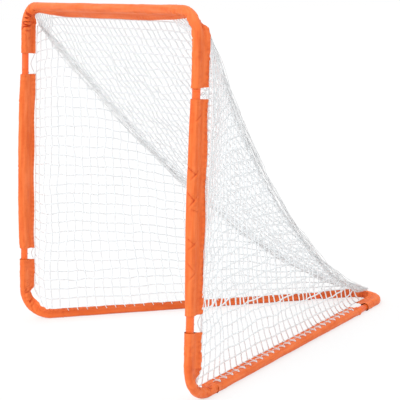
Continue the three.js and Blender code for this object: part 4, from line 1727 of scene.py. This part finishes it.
print("a seam spans", round((seam_top - seam_end).length, 3), "m from end to end")

# %% Strands of the seams
bunch_strands = 22
bunch_reach = 0.019
bunch_radius = 0.0009
bunch_seeds = {"left": 51.0, "right": 63.0}
seam_points = 150
seam_end_share = 0.988


def bunch_strand(number, seed):
    """One strand that wanders round the seam's line. The bunch is an oval that turns slowly."""
    line = []
    for i in range(seam_points + 1):
        share = seam_end_share * i / seam_points
        middle = seam_point(share)
        along = seam_way(share)
        first = (up - along * up.dot(along)).normalized()
        second = along.cross(first)
        fan = 1 + 0.25 * soft_noise(share * 9, seed)
        turn = number / bunch_strands * math.tau + 3.5 * soft_noise(share * 4, number * 1.7, seed)
        spread = 0.35 + 1.3 * abs(soft_noise(share * 6, number * 2.3, seed + 5))
        ends = mix(0.5, 1, eased(share / 0.06)) * mix(0.35, 1, eased((1 - share) / 0.14))
        reach = bunch_reach * min(spread, 1) * fan * ends
        high = math.cos(turn) * reach
        wide = math.sin(turn) * reach * 0.8
        line.append(middle + first * high + second * wide)
    return line


def on_side(side, line):
    """A line worked out for the left half, or its mirror image."""
    return [flipped(point) for point in line] if side == "right" else line


bunch_values = {"Strand radius": bunch_radius, "Sides": 5, "Finish": seam_twine}
for side in sides:
    strands = [bunch_strand(number, bunch_seeds[side]) for number in range(bunch_strands)]
    lines = [on_side(side, strand) for strand in strands]
    piece = grown(f"{side}_bunch", twine_tree, lines, [], bunch_values)
    seat(piece, f"{side}_seam")

# %% [markdown]
# ## Nets
# The net is square mesh of thick white twine, about 40 mm from knot to knot. On the sides its columns
# rise from the ground bar and lean towards the post, and its rows run back from the post to the seam.
# On the roof the rows are level. A cloth simulation of the bare net would be slow and hard to steer.
# Here every crossing is placed on the surface between the frame and the seams, with a little slack and
# some unevenness, and the twine tree makes strands and knots of it. The right side was tied on looser
# than the left, so it sags more, and it bulges behind the post, where spare net is left over. The
# unevenness comes from a noise that Blender starts from the clock, unless it is given a seed. It gets
# one here, so that the net is the same net each time.

# %% Surface of a side net
side_columns = 37
side_rows = 30
cad_columns = 13
side_inset = 0.011
side_powers = {"left": 1.27, "right": 1.45}
side_shares = {"left": 0.97, "right": 0.92}
side_pull = {"left": 0.012, "right": 0.035}
side_sag = {"left": 0.0, "right": 0.028}
side_push = {"left": 0.0, "right": 0.032}
side_seeds = {"left": 71.0, "right": 83.0}
push_run = 0.06
sag_run = 0.22


def net_beside(place, tip, beyond=net_gap):
    share = 1 + beyond / flap_width
    return beside(place, neck_reach + (tip[0] - neck_reach) * share, tip[1] * share)


net_top = beside_seam(0, -up)
highest_height = (net_top - foot).dot(post)


def net_corner(side):
    """The net's corner, beside the middle of the foot's bend."""
    return net_beside(foot_bend(0.5), foot_tip(side, 0.5))


def lower_edge(side, share):
    """The net's edge along the ground bar's flap, from the middle of the foot's bend."""
    distance = (bar_length - apex_run - side_inset) * share
    if distance < foot_run:
        turned_share = 0.5 * (1 - distance / foot_run)
        return net_beside(foot_bend(turned_share), foot_tip(side, turned_share))
    tip = apex_tips[side] if distance > rear_joint else ground_tip(side, distance)
    return net_beside(on_bar(distance), tip)


print("the side nets reach up to", round(highest_height, 3), "m along the posts")


# %% The side net itself
def post_edge(side, share):
    lowest_height = (net_corner(side) - foot).dot(post)
    height = mix(lowest_height, highest_height, min(share, 1 - 1 / cad_columns))
    if height < foot_run:
        turned_share = mix(0.5, 1, (height - lowest_height) / (foot_run - lowest_height))
        point = net_beside(foot_bend(turned_share), foot_tip(side, turned_share))
    else:
        point = net_beside(on_post(height), straight_tip)
    return mix(point, net_top, max(0, (share - 1 + 1 / cad_columns) * cad_columns))


def seam_share(side, a):
    """Where on its seam a column of a side net ends."""
    return side_shares[side] * a ** side_powers[side]


def side_surface(side, a, v):
    """A point of a side net: a from the post to the apex, v up from the ground, a + v at most 1."""
    low, high = lower_edge(side, a), beside_seam(seam_share(side, a), -up)
    rise_share = v / (1 - a) if a < 1 else 0
    hold = max(0, 1 - a * cad_columns)
    pull = side_pull[side] * hump(rise_share) * math.sin(math.pi * a) ** 0.5
    point = mix(low, high, rise_share) - bar * (pull * (1 - hold))
    sag = side_sag[side] * math.sin(math.pi * min(a / sag_run, 1)) * math.sin(math.pi * rise_share)
    push = side_push[side] * a / push_run * math.exp(1 - a / push_run)
    point = point - up * sag - across * (push * min(1, v * 14) * min(1, (1 - v) * 6))
    if hold > 0:
        straight = mix(net_corner(side), net_top, v)
        point = point + (post_edge(side, v) - straight) * hold
    return point


print("the right net starts", round(net_corner("right").z, 3), "m above the ground")

# %% Strands of a side net
points_per_cell = 3
seam_tuck = 0.004
net_radius, knot_radius = 0.0024, 0.0034
border_drift = 0.002
net_seed = 11
noise.seed_set(net_seed)


def drift(point, scale, seed, reach):
    """A smooth random way, with about that many changes to the metre."""
    return noise.noise_vector(point * scale + Vector((seed, seed / 3, 0))) * reach


def slackened(point, seed, free):
    """A point of a net, moved a little where it is free to move, from 0 at an edge to 1."""
    return point + (drift(point, 7, seed, 0.010) + drift(point, 24, seed + 9, 0.006)) * free


def side_point(side, a, v):
    room = min(a * side_columns / 2, v * side_rows / 3, (1 - a - v) * side_rows / 2, 1)
    return slackened(side_surface(side, a, v), side_seeds[side], max(0, room))


def side_strands(side):
    """The columns and rows of a side net, and its knots."""
    lines, marks = [], []

    def strand(point_at, reach, cells, end):
        """A strand through its points, tucked into the seam at the end."""
        count = max(2, round(reach * cells * points_per_cell))
        line = [point_at(reach * i / count) for i in range(count + 1)]
        lines.append(line + [beside_seam(seam_share(side, end), -up, seam_tuck)])

    for column in range(1, side_columns):
        a = column / side_columns
        strand(lambda v: side_point(side, a, v), 1 - a, side_rows, a)
    for row in range(1, side_rows):
        v = row / side_rows
        strand(lambda a: side_point(side, a, v), 1 - v, side_columns, 1 - v)
    for column in range(1, side_columns):
        for row in range(1, side_rows):
            a, v = column / side_columns, row / side_rows
            if a + v < 1:
                marks.append(side_point(side, a, v))
    return lines, marks


def side_border(side):
    border = [side_surface(side, 0, i / 90) for i in range(90, -1, -1)]
    border += [side_surface(side, i / 180, 0) for i in range(1, 181)]
    return [point + drift(point, 35, side_seeds[side] + 20, border_drift) for point in border]


# %% Make the side nets
net_values = {
    "Strand radius": net_radius,
    "Sides": 6,
    "Knot radius": knot_radius,
    "Finish": net_twine,
}
border_values = {"Strand radius": net_radius, "Sides": 8, "Finish": net_twine}
for side in sides:
    lines, marks = side_strands(side)
    lines, marks = [on_side(side, line) for line in lines], on_side(side, marks)
    piece = grown(f"{side}_mesh", twine_tree, lines, marks, net_values)
    seat(piece, f"{side}_net")
    rope = grown(f"{side}_border", twine_tree, [on_side(side, side_border(side))], [], border_values)
    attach(rope, root)

# %% Surface of the roof net
half_columns = 16
roof_rows = 50
roof_share = 0.93
roof_sag = 0.022
hold_power = 8
length_samples = 1200
crossbar_edge = net_beside(on_crossbar(crossbar_length / 2), straight_tip)
roof_start = beside_seam(0, across)


def even_shares(count, end):
    """Shares of the seam that are as far apart from each other in metres."""
    fine = [end * i / length_samples for i in range(length_samples + 1)]
    lengths = [0]
    for a, b in zip(fine, fine[1:]):
        lengths.append(lengths[-1] + (seam_point(b) - seam_point(a)).length)
    shares, i = [], 0
    for step_number in range(count + 1):
        while lengths[i] < lengths[-1] * step_number / count - 1e-9:
            i += 1
        shares.append(fine[i])
    return shares


roof_shares = even_shares(roof_rows, roof_share)


def roof_width(row):
    """How many columns there are on each side of the middle in a row of the roof."""
    return half_columns * (1 - row / roof_rows)


def roof_surface(column, row):
    i = min(int(row), roof_rows - 1)
    share = mix(roof_shares[i], roof_shares[i + 1], row - i)
    width = roof_width(row)
    part = min(1, abs(column) / width) if width > 1e-6 else 0
    edge = beside_seam(share, across)
    hold = (1 - part**hold_power) * (1 - share) ** hold_power
    sag = roof_sag * (1 - part * part) * math.sin(math.pi * share)
    y = edge.y + (crossbar_edge.y - roof_start.y) * hold
    z = edge.z + (crossbar_edge.z - roof_start.z) * hold - sag
    x = edge.x * part * (-1 if column > 0 else 1)
    return Vector((x, y, z))


print("the roof's last row is", round(roof_shares[-1], 2), "of the way down the seams")

# %% Strands of the roof net
roof_seed = 97.0
tuck_share = 0.6
top_edge_points = 160


def roof_point(column, row):
    room = min(row / 3, (roof_width(row) - abs(column)) / 2, 1)
    return slackened(roof_surface(column, row), roof_seed, max(0, room))


def tucked(point, share):
    """A row's end, taken on into the seam on its own side."""
    middle = seam_point(share)
    return mix(point, flipped(middle) if point.x > 0 else middle, tuck_share)


columns = range(1 - half_columns, half_columns)
roof_lines, roof_marks = [], []
for column in columns:
    end = roof_rows * (1 - abs(column) / half_columns)
    count = max(2, round(end * points_per_cell))
    roof_lines.append([roof_point(column, end * i / count) for i in range(count + 1)])
for row in range(1, roof_rows):
    width, share = roof_width(row), roof_shares[row]
    count = max(2, round(2 * width * points_per_cell))
    line = [roof_point(mix(-width, width, i / count), row) for i in range(count + 1)]
    roof_lines.append([tucked(line[0], share)] + line + [tucked(line[-1], share)])
    roof_marks += [roof_point(column, row) for column in columns if abs(column) < width]
across_top = [mix(-half_columns, half_columns, i / top_edge_points) for i in range(top_edge_points + 1)]
roof_lines.append([roof_surface(column, 0) for column in across_top])
print("the roof has", len(roof_lines), "strands and", len(roof_marks), "knots")

# %% [markdown]
# ## Gathers in the top corners
# The roof is wider than the crossbar's flap leaves room for, so its spare net is drawn together where
# the seams start, and strands fan out from there to the edge of the flap. A denser net would darken the
# whole roof. A few strands of their own, with a little sag, fill just the two corners.

# %% Gathers in the top corners
gather_count = 10
gather_run = 0.16
gather_steps = 8
gather_sag = 0.006
gather_drift = 0.006


def corner_edge(share):
    """A point of the flap's edge, from the middle of the top bend to beyond its end."""
    distance = gather_run * share
    turned_share = 0.5 + distance / (math.pi / 2 * top_bend_radius)
    if turned_share < 1:
        width = bend_width(1, turned_share)
        return beside(top_bend(turned_share), neck_reach + flap_width * width, 0)
    beyond = distance - math.pi / 4 * top_bend_radius
    return beside(on_crossbar(top_run + beyond), neck_reach + flap_width * corner_width(beyond), 0)


def gather(number):
    """One of the strands that fan out from the top of a seam to the edge of the flap."""
    share = number / (gather_count - 1)
    start, end = seam_point(0.03 * share), corner_edge(share)
    line = []
    for i in range(gather_steps + 1):
        part = i / gather_steps
        free = math.sin(math.pi * part)
        point = mix(start, end, part) - up * (gather_sag * free)
        line.append(point + drift(point, 30, number, gather_drift) * free)
    return line


for side in sides:
    roof_lines += [on_side(side, gather(number)) for number in range(gather_count)]
seat(grown("roof_mesh", twine_tree, roof_lines, roof_marks, net_values), "top_net")

# %% [markdown]
# ## Cords
# The net's edge is a thicker cord in the hems of the sleeves. It shows as a short bow in each of the
# four windows of the posts, and in the right upper one it is thrown into a small loop. Along the ground
# bars a lacing cord ties the net down. On the left it winds round the flap's edge, and on the right
# round the whole sleeve. Both could be drawn as curves. Here they are lists of points beside the tube,
# swept by the twine tree, so that they keep their distance from the cloth.

# %% Edge cords in the windows
cord_radius = 0.00175
cord_reach = flap_reach - hem_depth
bow_share = 0.17
bow_steps = 48
loops = {"right_upper": 0.006}
cord_values = {"Strand radius": cord_radius, "Sides": 12, "Finish": net_twine}


def bow(placed, low, high, loop):
    """A short bow of the edge cord, with a loop of that radius in its middle."""
    depth = (high - low) * bow_share
    line = []
    for i in range(bow_steps + 1):
        share = i / bow_steps
        round_loop = math.tau * eased((share - 0.25) / 0.5)
        height = mix(low + fit_clearance, high - fit_clearance, share) + loop * math.sin(round_loop)
        reach = cord_reach - depth * (1 - math.cos(math.tau * share)) / 2
        reach -= loop * (1 - math.cos(round_loop))
        aside = loop * 0.4 * math.cos(round_loop / 2) * math.sin(math.pi * share)
        line.append(beside(placed(on_post(height)), reach, aside))
    return line


def length_of(line):
    return sum((b - a).length for a, b in zip(line, line[1:]))


# %% Make the bows
for side, placed in sides.items():
    window = windows[side]
    spans = {
        "upper": (upper_joint - window["upper_below"], upper_joint + window["upper_above"]),
        "lower": (leg_length - window["lower_below"], leg_length + window["lower_above"]),
    }
    for label, (low, high) in spans.items():
        name = f"{side}_{label}"
        line = bow(placed, low, high, loops.get(name, 0))
        piece = grown(f"{name}_bow", twine_tree, [line], [], cord_values)
        seat(piece, f"{name}_edge_cord")
        print(piece.name, "is", round(length_of(line) * 1000, 1), "mm long")

# %% Turns of the lacing
lacing_pitch = 0.037
lacing_inset = 0.018
lacing_radius = 0.0015
lacing_steps = {
    "left": [
        (0.00, 1.14, 0.0),
        (0.03, 1.03, -0.0030),
        (0.08, 0.80, -0.0034),
        (0.13, 0.55, -0.0026),
        (0.17, 0.48, 0.0),
        (0.21, 0.55, 0.0026),
        (0.50, 0.75, 0.0036),
        (0.88, 1.00, 0.0034),
        (0.95, 1.08, 0.0020),
    ],
    "right": [
        (0.00, 1.14, 0.0),
        (0.03, 1.03, -0.0030),
        (0.08, 0.60, -0.0034),
        (0.13, 0.15, -0.0026),
        (0.17, 0.08, 0.0),
        (0.185, 0.15, 0.0030),
        (0.20, -0.85, 0.0042),
        (0.215, -1.25, 0.0026),
        (0.24, -1.40, 0.0024),
        (0.36, -1.15, 0.0028),
        (0.46, -0.85, 0.0042),
        (0.56, 0.18, 0.0042),
        (0.75, 0.60, 0.0036),
        (0.92, 1.00, 0.0034),
        (0.97, 1.08, 0.0020),
    ],
}
print({side: len(steps) for side, steps in lacing_steps.items()}, "points to a turn of the lacing")


# %% Lacing
def lacing_line(placed, side):
    """A cord that winds round the flap. A step is a share of a turn, how far out on the flap or, below
    zero, the angle round the tube from the flap, and the height over the cloth."""
    front = foot_sleeve_run + lacing_inset
    rear = rear_joint - windows[side]["rear_before"] - lacing_inset
    turns = round((rear - front) / lacing_pitch)
    steps = lacing_steps[side]
    line = []
    for turn_number in range(turns):
        for share, out, height in steps:
            distance = mix(front, rear, (turn_number + share) / turns)
            place, tip = placed(on_bar(distance)), ground_tip(side, distance)
            reach = (tip[0] - neck_reach, tip[1])
            lean = math.atan2(reach[1], reach[0])
            if out < 0:
                radius = sleeve_radius + height
                line.append(beside(place, radius * math.cos(out), radius * math.sin(-out)))
                continue
            forward = neck_reach + flap_width * out * math.cos(lean) - height * math.sin(lean)
            aside = flap_width * flap_bow(out) * math.sin(lean) + height * math.cos(lean)
            line.append(beside(place, forward, aside))
    return line


lacing_values = {"Strand radius": lacing_radius, "Sides": 8, "Finish": net_twine}
for side, placed in sides.items():
    line = lacing_line(placed, side)
    piece = grown(f"{side}_lacing", twine_tree, [line], [], lacing_values)
    seat(piece, f"{side}_lacing_cord")
    print(piece.name, "is", round(length_of(line), 3), "m long")

# %% [markdown]
# ## Measure and finish
# The box round the dressed goal is measured against the box of the imported model, and how far
# each side has grown is printed in millimetres. The dressed goal has to stay as large as the imported
# model, apart from what cloth may stand proud.

# %% Measure and finish
scene_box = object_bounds()
grown_by = [round((scene_box[i][a] - cad_box[i][a]) * 1000, 1) for i in range(2) for a in range(3)]
print("scene box against packed box, mm:", grown_by)
